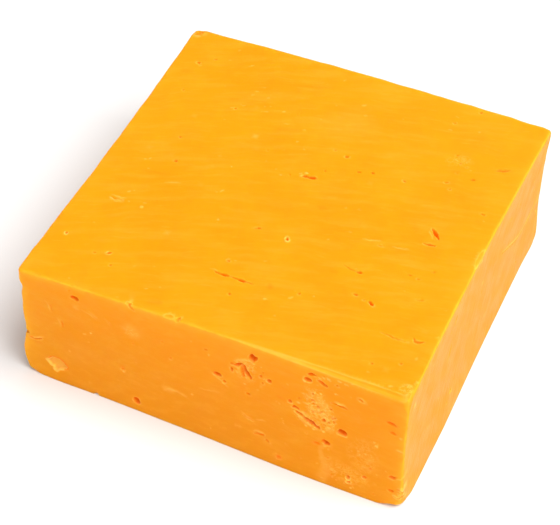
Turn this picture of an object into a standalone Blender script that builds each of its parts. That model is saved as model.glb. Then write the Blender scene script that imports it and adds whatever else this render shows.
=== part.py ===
"""A square block of red leicester cheese, cut by hand from a larger cheese.

It is one solid, about 100 mm wide, 98 mm deep and 37 mm high, lying flat. The six faces were
cut with a wire and a blade, so the corners stray a little from a true box, the edges bow, and
the faces show the pits, slits and chips that such a cheese has. Units are metres, with +Z up
and the front face towards -Y. The origin is the middle of the flat underside.
"""

import math

import bmesh
import bpy
from mathutils import Matrix, Vector

MM = 0.001

# The block before cutting errors
WIDTH = 100.0 * MM
DEPTH = 98.0 * MM
HEIGHT = 37.4 * MM
CELL = 6.2 * MM
EDGE_ROUND = 0.8 * MM
EDGE_SEGMENTS = 2
ROUNDED_ANGLE = math.radians(50)

# How far each corner strays, in mm, keyed by its side in X, in Y and in Z
CORNER_STRAY = {
    (-1, -1, 1): (0.8, 0.0, -0.4),
    (1, -1, 1): (-0.5, 0.4, 0.4),
    (1, 1, 1): (-0.1, 0.2, 0.3),
    (-1, 1, 1): (-0.1, -0.4, -0.3),
    (-1, -1, -1): (-0.5, 0.6, 0.0),
    (1, -1, -1): (0.5, -1.4, 0.0),
    (1, 1, -1): (0.0, 0.1, 0.0),
    (-1, 1, -1): (0.0, 0.0, 0.0),
}

# How far each upright face stands out at mid-length, in mm: along its top edge, along its
# bottom edge, and at mid-height from top to bottom
FACE_BOW = {
    "front": (-0.8, 0.2, -0.4),
    "right": (-0.8, -0.1, -0.5),
    "back": (0.7, 0.2, -0.5),
    "left": (-0.6, -0.2, -0.4),
}

# Each face's middle line at the bottom, or its middle, then its own right, up and outward
FACES = {
    "front": (Vector((0, -DEPTH / 2, 0)), Vector((1, 0, 0)), Vector((0, 0, 1)), Vector((0, -1, 0))),
    "right": (Vector((WIDTH / 2, 0, 0)), Vector((0, 1, 0)), Vector((0, 0, 1)), Vector((1, 0, 0))),
    "back": (Vector((0, DEPTH / 2, 0)), Vector((-1, 0, 0)), Vector((0, 0, 1)), Vector((0, 1, 0))),
    "left": (Vector((-WIDTH / 2, 0, 0)), Vector((0, -1, 0)), Vector((0, 0, 1)), Vector((-1, 0, 0))),
    "top": (Vector((0, 0, HEIGHT)), Vector((1, 0, 0)), Vector((0, 1, 0)), Vector((0, 0, 1))),
}

# Openings between the curds: face, place across, place up, half width, half height, depth, in mm
PITS = [
    ("front", -35.2, 33.1, 0.9, 1.2, 0.9),
    ("front", -19.2, 3.9, 0.7, 0.8, 0.8),
    ("front", 2.4, 23.3, 0.9, 0.6, 0.9),
    ("front", 6.0, 26.7, 0.5, 0.7, 0.6),
    ("front", 11.3, 33.0, 1.0, 1.2, 1.1),
    ("front", 15.7, 27.5, 0.7, 0.7, 0.8),
    ("front", 25.1, 32.2, 0.8, 0.9, 0.8),
    ("front", 21.3, 23.0, 0.6, 0.5, 0.6),
    ("front", 30.0, 20.8, 0.7, 0.7, 0.8),
    ("front", 26.5, 17.0, 0.6, 0.5, 0.7),
    ("front", 34.3, 18.5, 1.1, 1.1, 1.2),
    ("front", 30.4, 13.8, 0.9, 0.9, 0.9),
    ("front", 37.9, 31.9, 0.7, 0.6, 0.6),
    ("front", 36.6, 4.3, 0.9, 0.8, 0.7),
    ("front", 40.5, 7.0, 0.5, 0.5, 0.5),
    ("front", 47.3, 9.9, 0.9, 0.7, 0.9),
    ("front", 47.0, 5.6, 0.6, 0.6, 0.6),
    ("top", 0.4, 7.0, 1.5, 1.0, 0.9),
    ("top", 4.8, -14.8, 0.6, 0.8, 0.8),
    ("top", -27.1, 23.2, 0.5, 0.5, 0.5),
    ("top", -45.2, -34.0, 0.5, 0.6, 0.6),
    ("top", -32.5, -36.0, 0.6, 0.6, 0.6),
    ("top", 31.2, -25.9, 0.9, 0.6, 0.7),
    ("top", 45.6, -31.7, 1.4, 0.5, 0.6),
    ("right", -17.5, 8.4, 0.7, 0.7, 0.6),
    ("right", -15.6, 30.0, 1.2, 0.8, 0.6),
    ("back", -31.0, 24.0, 1.0, 0.9, 1.0),
    ("back", -8.0, 9.5, 0.8, 1.1, 0.9),
    ("back", 13.5, 27.0, 1.1, 0.8, 1.0),
    ("back", 36.0, 14.0, 0.7, 0.7, 0.8),
    ("left", -34.0, 12.0, 0.9, 0.8, 0.9),
    ("left", 6.0, 26.5, 0.8, 1.0, 0.8),
    ("left", 29.0, 18.0, 1.1, 0.9, 1.0),
]

# Slits where curds part: face, width, depth, then the line it follows, in mm
SLITS = [
    ("front", 0.9, 1.3, [(6.9, 28.9), (8.6, 29.8), (9.1, 28.4), (9.9, 26.8), (10.9, 25.9)]),
    ("front", 1.1, 1.6, [(22.4, 20.0), (23.9, 19.9), (25.7, 19.4), (27.2, 18.9), (28.8, 17.7)]),
    ("front", 0.7, 1.0, [(27.7, 33.3), (28.8, 33.0), (29.9, 32.4)]),
    ("front", 0.6, 0.8, [(22.0, 22.0), (22.8, 21.9), (23.6, 21.9)]),
    ("top", 0.7, 0.8, [(-6.8, -31.7), (-5.2, -31.5), (-3.9, -31.6), (-2.2, -31.2)]),
    ("top", 0.6, 0.8, [(-0.9, -31.6), (0.4, -31.7), (1.8, -31.4), (3.1, -31.5)]),
    ("top", 0.6, 0.8, [(35.6, 3.0), (36.7, 1.9), (38.1, 0.3)]),
    ("top", 0.5, 0.7, [(35.5, -2.5), (36.8, -2.0), (38.2, -1.9)]),
    ("top", 0.6, 0.7, [(-4.3, -14.3), (-3.4, -14.1), (-2.5, -14.2)]),
    ("top", 0.6, 0.6, [(24.0, -18.2), (25.0, -18.0), (26.1, -18.1)]),
    ("right", 0.5, 0.6, [(46.0, 16.8), (40.2, 15.4), (35.1, 14.3), (29.3, 15.9), (17.1, 22.3)]),
    ("back", 0.8, 1.1, [(-22.0, 17.0), (-20.4, 16.6), (-18.7, 16.9), (-17.0, 16.0)]),
    ("back", 0.7, 1.0, [(24.0, 21.0), (25.2, 20.0), (26.8, 19.7), (28.1, 18.6)]),
    ("left", 0.8, 1.0, [(-14.0, 20.0), (-12.6, 19.5), (-11.0, 19.7), (-9.4, 18.8)]),
]
SLIT_STEPS = 3
SLIT_END_RADIUS = 0.35

# Chips out of the edges and a corner: place, half sizes and turn about Z, in mm and degrees
EDGE_CHIPS = {
    "front_edge_chip": ((-9.8, -49.0, 37.6), (2.3, 0.9, 1.0), 0),
    "front_edge_nick": ((-20.3, -49.0, 37.6), (1.0, 0.7, 0.9), 0),
    "right_edge_nick": ((49.9, -1.8, 37.8), (0.8, 3.2, 0.8), 0),
    "left_corner_notch": ((-50.0, -48.6, 13.6), (3.4, 1.0, 0.6), 40),
    "back_corner_dip": ((-49.0, 48.4, 37.6), (1.6, 2.4, 0.7), 20),
    "front_foot_nick": ((-30.6, -49.0, 0.4), (0.8, 0.7, 0.6), 0),
}

# The shallow flake that came off low on the front, its outline in mm on the face
FLAKE_OUTLINE = [
    (-44.0, 6.2), (-43.0, 7.9), (-40.6, 8.3), (-38.9, 7.4), (-38.4, 6.1),
    (-39.6, 4.8), (-41.4, 3.8), (-42.2, 4.9),
]
FLAKE_DEPTH = 0.5 * MM

# The edge between the top and the front is shaved flat towards its right end
SHAVE_START = 8.0 * MM
SHAVE_LEG = 1.3 * MM
SHAVE_CUTTER_SIDE = 3.0 * MM
SHAVE_CUTTER_OVERRUN = 5.0 * MM

# The soft lip that the blade pushed out of the front left corner, at the top
LIP_SIZE = (8.0 * MM, 6.5 * MM, 4.8 * MM)
LIP_REACH = 0.3 * MM
LIP_BELOW_TOP = 0.2 * MM
LIP_ROUND = 1.8 * MM

CHEESE_COLOUR = (0.93, 0.33, 0.02, 1.0)
CHEESE_ROUGHNESS = 0.45


def clear_scene():
    for obj in list(bpy.data.objects):
        bpy.data.objects.remove(obj)


def new_collection(name, hidden=False):
    collection = bpy.data.collections.new(name)
    bpy.context.scene.collection.children.link(collection)
    collection.hide_render = hidden
    return collection


def new_object(name, mesh, collection):
    obj = bpy.data.objects.new(name, mesh)
    collection.objects.link(obj)
    return obj


def hump(t):
    """0 at both ends of a side and 1 at its middle."""
    return 4 * t * (1 - t)


def face_bow(face, along, up):
    top, bottom, hollow = FACE_BOW[face]
    return (hump(along) * (bottom + (top - bottom) * up) + hump(up) * hollow) * MM


def hand_cut(point):
    """Where a point of the true box lies on the block as it was cut."""
    u = point.x / WIDTH + 0.5
    v = point.y / DEPTH + 0.5
    w = point.z / HEIGHT
    moved = point.copy()
    for (side_x, side_y, side_z), stray in CORNER_STRAY.items():
        share = (u if side_x > 0 else 1 - u) * (v if side_y > 0 else 1 - v) * (w if side_z > 0 else 1 - w)
        moved += share * Vector(stray) * MM
    moved.y += v * face_bow("back", u, w) - (1 - v) * face_bow("front", u, w)
    moved.x += u * face_bow("right", v, w) - (1 - u) * face_bow("left", v, w)
    return moved


def centring():
    """Brings the middle of the block's box in X and Y to the origin."""
    steps = [i / 20 for i in range(21)]
    rim = [
        hand_cut(Vector(((u - 0.5) * WIDTH, (v - 0.5) * DEPTH, z)))
        for u in steps for v in steps for z in (0.0, HEIGHT)
    ]
    middle_x = (min(p.x for p in rim) + max(p.x for p in rim)) / 2
    middle_y = (min(p.y for p in rim) + max(p.y for p in rim)) / 2
    return Vector((-middle_x, -middle_y, 0))


CENTRING = centring()


def on_block(point):
    return hand_cut(point) + CENTRING


def on_face(face, across, up):
    """The place on a face, from distances in mm across it and up it."""
    start, right, upward, _ = FACES[face]
    return on_block(start + right * across * MM + upward * up * MM)


def face_turn(face):
    """The rotation that takes X, Y and Z to the face's right, up and outward."""
    _, right, upward, outward = FACES[face]
    return Matrix((right, upward, outward)).transposed().to_4x4()


def cut_edges_along(bm, axis, length):
    edges = [e for e in bm.edges if abs((e.verts[0].co - e.verts[1].co)[axis]) > 1e-6]
    cuts = round(length / CELL) - 1
    bmesh.ops.subdivide_edges(bm, edges=edges, cuts=cuts, use_grid_fill=True)


def make_block(collection):
    bm = bmesh.new()
    bmesh.ops.create_cube(bm, size=1.0, matrix=Matrix.Diagonal((WIDTH, DEPTH, HEIGHT, 1)))
    bmesh.ops.translate(bm, verts=bm.verts, vec=(0, 0, HEIGHT / 2))
    for axis, length in enumerate((WIDTH, DEPTH, HEIGHT)):
        cut_edges_along(bm, axis, length)
    for vert in bm.verts:
        vert.co = on_block(vert.co)
    mesh = bpy.data.meshes.new("cheese_block")
    bm.to_mesh(mesh)
    bm.free()
    block = new_object("cheese_block", mesh, collection)
    rounding = block.modifiers.new("rounded edges", "BEVEL")
    rounding.width = EDGE_ROUND
    rounding.segments = EDGE_SEGMENTS
    rounding.limit_method = "ANGLE"
    rounding.angle_limit = ROUNDED_ANGLE
    return block


def hidden_helper(obj):
    obj.hide_render = True
    obj.display_type = "WIRE"
    return obj


def ball_cutter(name, place, half_sizes, turn, collection):
    """A ball stretched to its half sizes."""
    bm = bmesh.new()
    bmesh.ops.create_icosphere(bm, subdivisions=2, radius=1.0)
    bmesh.ops.transform(bm, verts=bm.verts, matrix=turn @ Matrix.Diagonal((*half_sizes, 1)))
    mesh = bpy.data.meshes.new(name)
    bm.to_mesh(mesh)
    bm.free()
    cutter = hidden_helper(new_object(name, mesh, collection))
    cutter.location = place
    return cutter


def make_pit_cutters(collection):
    for number, (face, across, up, half_width, half_height, depth) in enumerate(PITS):
        sizes = (half_width * MM, half_height * MM, depth * MM)
        ball_cutter(f"pit_{number:02d}", on_face(face, across, up), sizes, face_turn(face), collection)


def smooth_line(points):
    """Points along a smooth curve through the given ones, which bends like a Catmull-Rom spline."""
    ends = [points[0]] + points + [points[-1]]
    line = []
    for before, start, end, after in zip(ends, ends[1:], ends[2:], ends[3:]):
        for step in range(SLIT_STEPS):
            t = step / SLIT_STEPS
            line.append(
                0.5 * (
                    2 * start
                    + (end - before) * t
                    + (2 * before - 5 * start + 4 * end - after) * t ** 2
                    + (3 * start - before - 3 * end + after) * t ** 3
                )
            )
    return line + [points[-1]]


def make_slit_cutter(name, face, width, depth, points, collection):
    """A tube along the slit, thin at its ends and stretched to the slit's depth."""
    line = smooth_line([Vector(p) for p in points])
    curve = bpy.data.curves.new(name, "CURVE")
    curve.dimensions = "3D"
    curve.bevel_depth = width / 2 * MM
    curve.bevel_resolution = 1
    curve.use_fill_caps = True
    spline = curve.splines.new("POLY")
    spline.points.add(len(line) - 1)
    for i, (point, place) in enumerate(zip(spline.points, line)):
        point.co = (*on_face(face, *place), 1)
        point.radius = SLIT_END_RADIUS + (1 - SLIT_END_RADIUS) * hump(i / (len(line) - 1))
    guide = new_object(name + "_line", curve, collection)
    evaluated = guide.evaluated_get(bpy.context.evaluated_depsgraph_get())
    mesh = bpy.data.meshes.new_from_object(evaluated)
    mesh.name = name
    bpy.data.objects.remove(guide)
    outward = FACES[face][3]
    level = on_face(face, *line[len(line) // 2]).dot(outward)
    stretch = depth / (width / 2)
    bm = bmesh.new()
    bm.from_mesh(mesh)
    bmesh.ops.remove_doubles(bm, verts=bm.verts, dist=1e-6)
    bmesh.ops.recalc_face_normals(bm, faces=bm.faces)
    for vert in bm.verts:
        vert.co += outward * (vert.co.dot(outward) - level) * (stretch - 1)
    bm.to_mesh(mesh)
    bm.free()
    hidden_helper(new_object(name, mesh, collection))


def make_flake_cutter(collection):
    """A thin slab with the flake's outline, half in and half out of the front face."""
    curve = bpy.data.curves.new("flake", "CURVE")
    curve.dimensions = "2D"
    curve.fill_mode = "BOTH"
    curve.extrude = FLAKE_DEPTH
    spline = curve.splines.new("POLY")
    spline.points.add(len(FLAKE_OUTLINE) - 1)
    spline.use_cyclic_u = True
    middle = Vector((
        sum(p[0] for p in FLAKE_OUTLINE) / len(FLAKE_OUTLINE),
        sum(p[1] for p in FLAKE_OUTLINE) / len(FLAKE_OUTLINE),
    ))
    for point, place in zip(spline.points, FLAKE_OUTLINE):
        offset = (Vector(place) - middle) * MM
        point.co = (offset.x, offset.y, 0, 1)
    guide = new_object("flake_outline", curve, collection)
    evaluated = guide.evaluated_get(bpy.context.evaluated_depsgraph_get())
    mesh = bpy.data.meshes.new_from_object(evaluated)
    mesh.name = "flake"
    bpy.data.objects.remove(guide)
    bm = bmesh.new()
    bm.from_mesh(mesh)
    bmesh.ops.remove_doubles(bm, verts=bm.verts, dist=1e-6)
    bmesh.ops.recalc_face_normals(bm, faces=bm.faces)
    bmesh.ops.transform(bm, verts=bm.verts, matrix=face_turn("front"))
    bm.to_mesh(mesh)
    bm.free()
    cutter = hidden_helper(new_object("flake", mesh, collection))
    cutter.location = on_face("front", *middle)


def make_edge_chip_cutters(collection):
    for name, (place, half_sizes, turn) in EDGE_CHIPS.items():
        sizes = [size * MM for size in half_sizes]
        rotation = Matrix.Rotation(math.radians(turn), 4, "Z")
        ball_cutter(name, on_block(Vector(place) * MM), sizes, rotation, collection)


def make_shave_cutter(collection):
    """A long wedge that takes more off the edge the further right it goes."""
    start = on_block(Vector((SHAVE_START, -DEPTH / 2, HEIGHT)))
    end = on_block(Vector((WIDTH / 2, -DEPTH / 2, HEIGHT)))
    along = (end - start).normalized()
    outward = (along.cross(Vector((0, 0, 1))) + Vector((0, 0, 1))).normalized()
    length = (end - start).length
    sides = (length + SHAVE_CUTTER_OVERRUN, 2 * SHAVE_CUTTER_SIDE, SHAVE_CUTTER_SIDE)
    bm = bmesh.new()
    bmesh.ops.create_cube(bm, size=1.0, matrix=Matrix.Diagonal((*sides, 1)))
    mesh = bpy.data.meshes.new("edge_shave")
    bm.to_mesh(mesh)
    bm.free()
    cutter = hidden_helper(new_object("edge_shave", mesh, collection))
    across = outward.cross(along)
    shaved = SHAVE_LEG * math.sin(math.radians(45))
    tilt = Matrix.Rotation(math.atan2(shaved, length), 4, across)
    turn = tilt @ Matrix((along, across, outward)).transposed().to_4x4()
    middle = (start + end) / 2 - outward * shaved / 2 + turn @ Vector((0, 0, SHAVE_CUTTER_SIDE / 2))
    cutter.matrix_world = Matrix.Translation(middle) @ turn


def make_lip(collection):
    """The pushed-out lip, as a rounded lump that is joined to the corner."""
    bm = bmesh.new()
    bmesh.ops.create_cube(bm, size=1.0, matrix=Matrix.Diagonal((*LIP_SIZE, 1)))
    mesh = bpy.data.meshes.new("corner_lip")
    bm.to_mesh(mesh)
    bm.free()
    lip = hidden_helper(new_object("corner_lip", mesh, collection))
    rounding = lip.modifiers.new("rounded edges", "BEVEL")
    rounding.width = LIP_ROUND
    rounding.segments = EDGE_SEGMENTS
    corner = on_block(Vector((-WIDTH / 2, -DEPTH / 2, HEIGHT)))
    lip.location = corner + Vector((
        LIP_SIZE[0] / 2 - LIP_REACH,
        LIP_SIZE[1] / 2 - LIP_REACH,
        -LIP_SIZE[2] / 2 - LIP_BELOW_TOP,
    ))
    return lip


def make_cheese_material():
    material = bpy.data.materials.new("cheese")
    material.use_nodes = True
    shader = material.node_tree.nodes["Principled BSDF"]
    shader.inputs["Base Color"].default_value = CHEESE_COLOUR
    shader.inputs["Roughness"].default_value = CHEESE_ROUGHNESS
    shader.inputs["Metallic"].default_value = 0.0
    return material


def main():
    clear_scene()
    parts = new_collection("red_leicester_cheese_block")
    cutters = new_collection("cutters", hidden=True)
    additions = new_collection("additions", hidden=True)
    block = make_block(parts)
    block.data.materials.append(make_cheese_material())

    lip_join = block.modifiers.new("corner lip", "BOOLEAN")
    lip_join.operation = "UNION"
    lip_join.object = make_lip(additions)

    make_pit_cutters(cutters)
    for number, (face, width, depth, points) in enumerate(SLITS):
        make_slit_cutter(f"slit_{number:02d}", face, width, depth, points, cutters)
    make_flake_cutter(cutters)
    make_edge_chip_cutters(cutters)
    make_shave_cutter(cutters)

    openings = block.modifiers.new("pits, slits and chips", "BOOLEAN")
    openings.operation = "DIFFERENCE"
    openings.operand_type = "COLLECTION"
    openings.collection = cutters


main()
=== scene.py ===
"""The looks of the red leicester cheese block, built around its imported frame.

The block's surface is a box with rounded edges, cut into triangles that are finest where the
surface has most to show. Pits, slits, chips and crumbs are pressed into it and drawn out of it,
then it takes the same bowed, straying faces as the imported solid. Lengths are in mm until the
mesh is made, with +Z up and the front face towards -Y.
"""
import itertools
import math

import bmesh
import bpy
import numpy as np
from mathutils import Matrix, Vector


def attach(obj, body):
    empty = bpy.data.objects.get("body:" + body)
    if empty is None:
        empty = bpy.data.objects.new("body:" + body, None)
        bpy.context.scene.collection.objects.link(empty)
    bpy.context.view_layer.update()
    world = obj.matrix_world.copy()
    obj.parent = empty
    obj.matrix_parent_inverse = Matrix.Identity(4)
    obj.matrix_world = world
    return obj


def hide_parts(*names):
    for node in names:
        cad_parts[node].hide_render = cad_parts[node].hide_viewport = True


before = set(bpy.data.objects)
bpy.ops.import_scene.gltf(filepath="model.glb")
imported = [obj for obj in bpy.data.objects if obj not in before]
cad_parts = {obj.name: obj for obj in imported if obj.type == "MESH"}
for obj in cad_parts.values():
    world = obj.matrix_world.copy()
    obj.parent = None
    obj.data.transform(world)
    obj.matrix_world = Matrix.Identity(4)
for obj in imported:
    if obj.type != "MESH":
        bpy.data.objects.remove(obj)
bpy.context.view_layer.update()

MM = 0.001

# The block before cutting errors, in mm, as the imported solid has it
SIZE = np.array((100.0, 98.0, 37.4))
HALF = SIZE / 2
MIDDLE = np.array((0.0, 0.0, HALF[2]))

# How far each corner strays, in mm, keyed by its side in X, in Y and in Z
CORNER_STRAY = {
    (-1, -1, 1): (0.8, 0.0, -0.4),
    (1, -1, 1): (-0.5, 0.4, 0.4),
    (1, 1, 1): (-0.1, 0.2, 0.3),
    (-1, 1, 1): (-0.1, -0.4, -0.3),
    (-1, -1, -1): (-0.5, 0.6, 0.0),
    (1, -1, -1): (0.5, -1.4, 0.0),
    (1, 1, -1): (0.0, 0.1, 0.0),
    (-1, 1, -1): (0.0, 0.0, 0.0),
}

# How far each upright face stands out at mid-length, in mm: along its top edge, along its
# bottom edge, and at mid-height from top to bottom
FACE_BOW = {
    "front": (-0.8, 0.2, -0.4),
    "right": (-0.8, -0.1, -0.5),
    "back": (0.7, 0.2, -0.5),
    "left": (-0.6, -0.2, -0.4),
}

# Each face's middle line at the bottom, or its middle, then its own right, up and outward
FACES = {
    "front": ((0, -HALF[1], 0), (1, 0, 0), (0, 0, 1), (0, -1, 0)),
    "right": ((HALF[0], 0, 0), (0, 1, 0), (0, 0, 1), (1, 0, 0)),
    "back": ((0, HALF[1], 0), (-1, 0, 0), (0, 0, 1), (0, 1, 0)),
    "left": ((-HALF[0], 0, 0), (0, -1, 0), (0, 0, 1), (-1, 0, 0)),
    "top": ((0, 0, SIZE[2]), (1, 0, 0), (0, 1, 0), (0, 0, 1)),
    "bottom": ((0, 0, 0), (1, 0, 0), (0, -1, 0), (0, 0, -1)),
}
FACES = {name: np.array(vectors, dtype=float) for name, vectors in FACES.items()}

# How fine the triangles are, as the longest side wanted, in mm
FIRST_CELL = 8.0
FACE_DETAIL = {"front": 1.0, "top": 1.7, "right": 1.4, "left": 2.0, "back": 2.0, "bottom": 3.5}
EDGE_DETAIL = 0.8
SHOWN_EDGE_DETAIL = 0.42
EDGE_STRIP = 0.8
MARK_DETAIL = 0.27
ROUGH_DETAIL = 0.36
SOFT_DETAIL = 0.6
REFINING_PASSES = 16

# The rounding of the edges, in mm, and the share by which it varies
EDGE_RADIUS = 0.6
BOTTOM_RADIUS = 0.15
EDGE_UNEVEN = 0.4

# Openings between the curds on each face: place across and up, half width, half height, depth,
# turn in degrees, and how much of a pale lip it has
PITS = {
    "front": [
        (-35.0, 33.3, 1.0, 0.75, 1.3, -35, 0.35),
        (-22.9, 13.3, 0.55, 0.5, 0.3, 0, 0.5),
        (-19.2, 3.7, 0.95, 1.05, 1.4, 10, 0.4),
        (-10.0, 23.4, 0.35, 0.35, 0.4, 0, 0.4),
        (-0.8, 30.6, 0.4, 0.3, 0.4, 0, 0.3),
        (2.3, 23.4, 1.0, 0.55, 1.1, -8, 0.6),
        (4.0, 21.7, 0.45, 0.4, 0.6, -30, 0.5),
        (5.9, 26.8, 0.35, 0.65, 0.7, 10, 0.4),
        (11.2, 33.2, 1.05, 1.1, 1.5, 0, 0.6),
        (13.4, 27.9, 0.4, 0.5, 0.6, 0, 0.5),
        (13.9, 25.8, 0.35, 0.35, 0.5, 0, 0.4),
        (15.6, 27.5, 0.6, 0.65, 1.0, 0, 0.7),
        (10.3, 20.4, 0.55, 0.4, 0.7, -10, 0.3),
        (15.7, 7.1, 0.6, 0.3, 0.7, -40, 0.3),
        (18.9, 3.2, 0.6, 0.5, 0.4, 0, 0.4),
        (25.1, 32.4, 0.75, 0.75, 1.1, 0, 0.9),
        (21.0, 23.1, 0.55, 0.5, 0.8, 0, 0.8),
        (29.7, 20.8, 0.5, 0.5, 0.8, 0, 0.8),
        (34.4, 18.7, 1.25, 0.9, 1.6, -22, 0.7),
        (30.5, 13.6, 1.05, 0.65, 1.2, -8, 0.5),
        (28.2, 12.4, 0.8, 0.4, 0.3, 0, 0.2),
        (38.4, 31.9, 0.6, 0.35, 0.6, -25, 0.5),
        (40.4, 7.0, 0.45, 0.45, 0.6, 0, 0.6),
        (36.4, 5.0, 0.45, 0.5, 0.6, 0, 0.9),
        (36.6, 3.7, 0.5, 0.4, 0.5, 0, 0.9),
        (47.2, 10.2, 0.9, 0.55, 1.1, 5, 0.5),
        (47.1, 5.8, 0.65, 0.5, 0.8, 0, 0.3),
        (46.3, 27.9, 1.3, 0.5, 0.5, -12, 0.1),
        (46.8, 24.9, 0.8, 0.4, 0.5, -12, 0.2),
        (32.4, 22.8, 0.35, 0.3, 0.5, 0, 0.6),
        (27.0, 25.2, 0.3, 0.3, 0.4, 0, 0.5),
        (31.3, 25.3, 0.35, 0.3, 0.4, 0, 0.5),
    ],
    "top": [
        (-43.4, 36.0, 0.65, 0.5, 0.6, 0, 0.3),
        (-39.8, 39.1, 0.35, 0.3, 0.4, 0, 0.1),
        (-26.9, 23.1, 0.4, 0.35, 0.5, 0, 0.2),
        (-32.3, -0.9, 0.45, 0.4, 0.6, 0, 0.1),
        (-45.2, -33.9, 0.35, 0.45, 0.5, 0, 0.7),
        (-32.4, -36.0, 0.6, 0.4, 0.7, 35, 0.5),
        (-35.8, -37.3, 0.4, 0.25, 0.3, -20, 0.1),
        (-3.4, -14.4, 0.75, 0.35, 0.7, 15, 0.1),
        (4.7, -14.9, 0.4, 0.65, 0.9, 20, 0.8),
        (1.6, 7.1, 1.0, 0.55, 1.0, 15, 0.3),
        (0.0, 6.9, 0.9, 0.45, 0.7, 15, 0.5),
        (6.7, 17.7, 0.55, 0.4, 0.5, 15, 0.4),
        (11.6, 13.8, 0.55, 0.35, 0.5, 15, 0.0),
        (14.8, 14.8, 0.6, 0.35, 0.6, 10, 0.0),
        (3.6, 10.7, 0.35, 0.3, 0.3, 0, 0.0),
        (23.1, 15.4, 0.45, 0.35, 0.5, 0, 0.3),
        (26.8, 40.8, 0.4, 0.35, 0.4, 0, 0.4),
        (38.6, 23.0, 0.5, 0.4, 0.4, 20, 0.0),
        (45.1, 12.7, 0.55, 0.3, 0.5, 0, 0.2),
        (32.9, 19.4, 0.5, 0.3, 0.3, 20, 0.4),
        (26.2, -7.6, 0.55, 0.25, 0.4, 10, 0.3),
        (25.0, -17.8, 0.7, 0.4, 0.7, 5, 0.1),
        (26.8, -24.8, 0.55, 0.3, 0.5, -10, 0.2),
        (31.2, -25.8, 0.8, 0.4, 0.9, -35, 0.3),
        (36.3, -13.7, 0.65, 0.25, 0.3, 10, 0.0),
        (41.0, -10.4, 0.7, 0.25, 0.3, 25, 0.0),
        (-5.2, -27.1, 0.4, 0.3, 0.4, 0, 0.3),
        (41.4, -19.9, 0.9, 0.25, 0.25, 20, 0.1),
    ],
    "right": [
        (-17.5, 8.4, 0.5, 0.5, 0.6, 0, 0.9),
        (-17.2, 31.8, 1.4, 0.45, 0.5, 58, 0.2),
        (-19.4, 23.7, 1.7, 0.4, 0.4, 62, 0.2),
    ],
    "back": [
        (-31.0, 24.0, 1.0, 0.9, 1.4, 15, 0.5),
        (-8.0, 9.5, 0.8, 1.1, 1.3, 0, 0.5),
        (13.5, 27.0, 1.1, 0.8, 1.4, -20, 0.6),
        (36.0, 14.0, 0.7, 0.7, 1.0, 0, 0.5),
    ],
    "left": [
        (-34.0, 12.0, 0.9, 0.8, 1.2, 0, 0.5),
        (6.0, 26.5, 0.8, 1.0, 1.2, 10, 0.5),
        (29.0, 18.0, 1.1, 0.9, 1.4, -15, 0.6),
    ],
}

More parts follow.
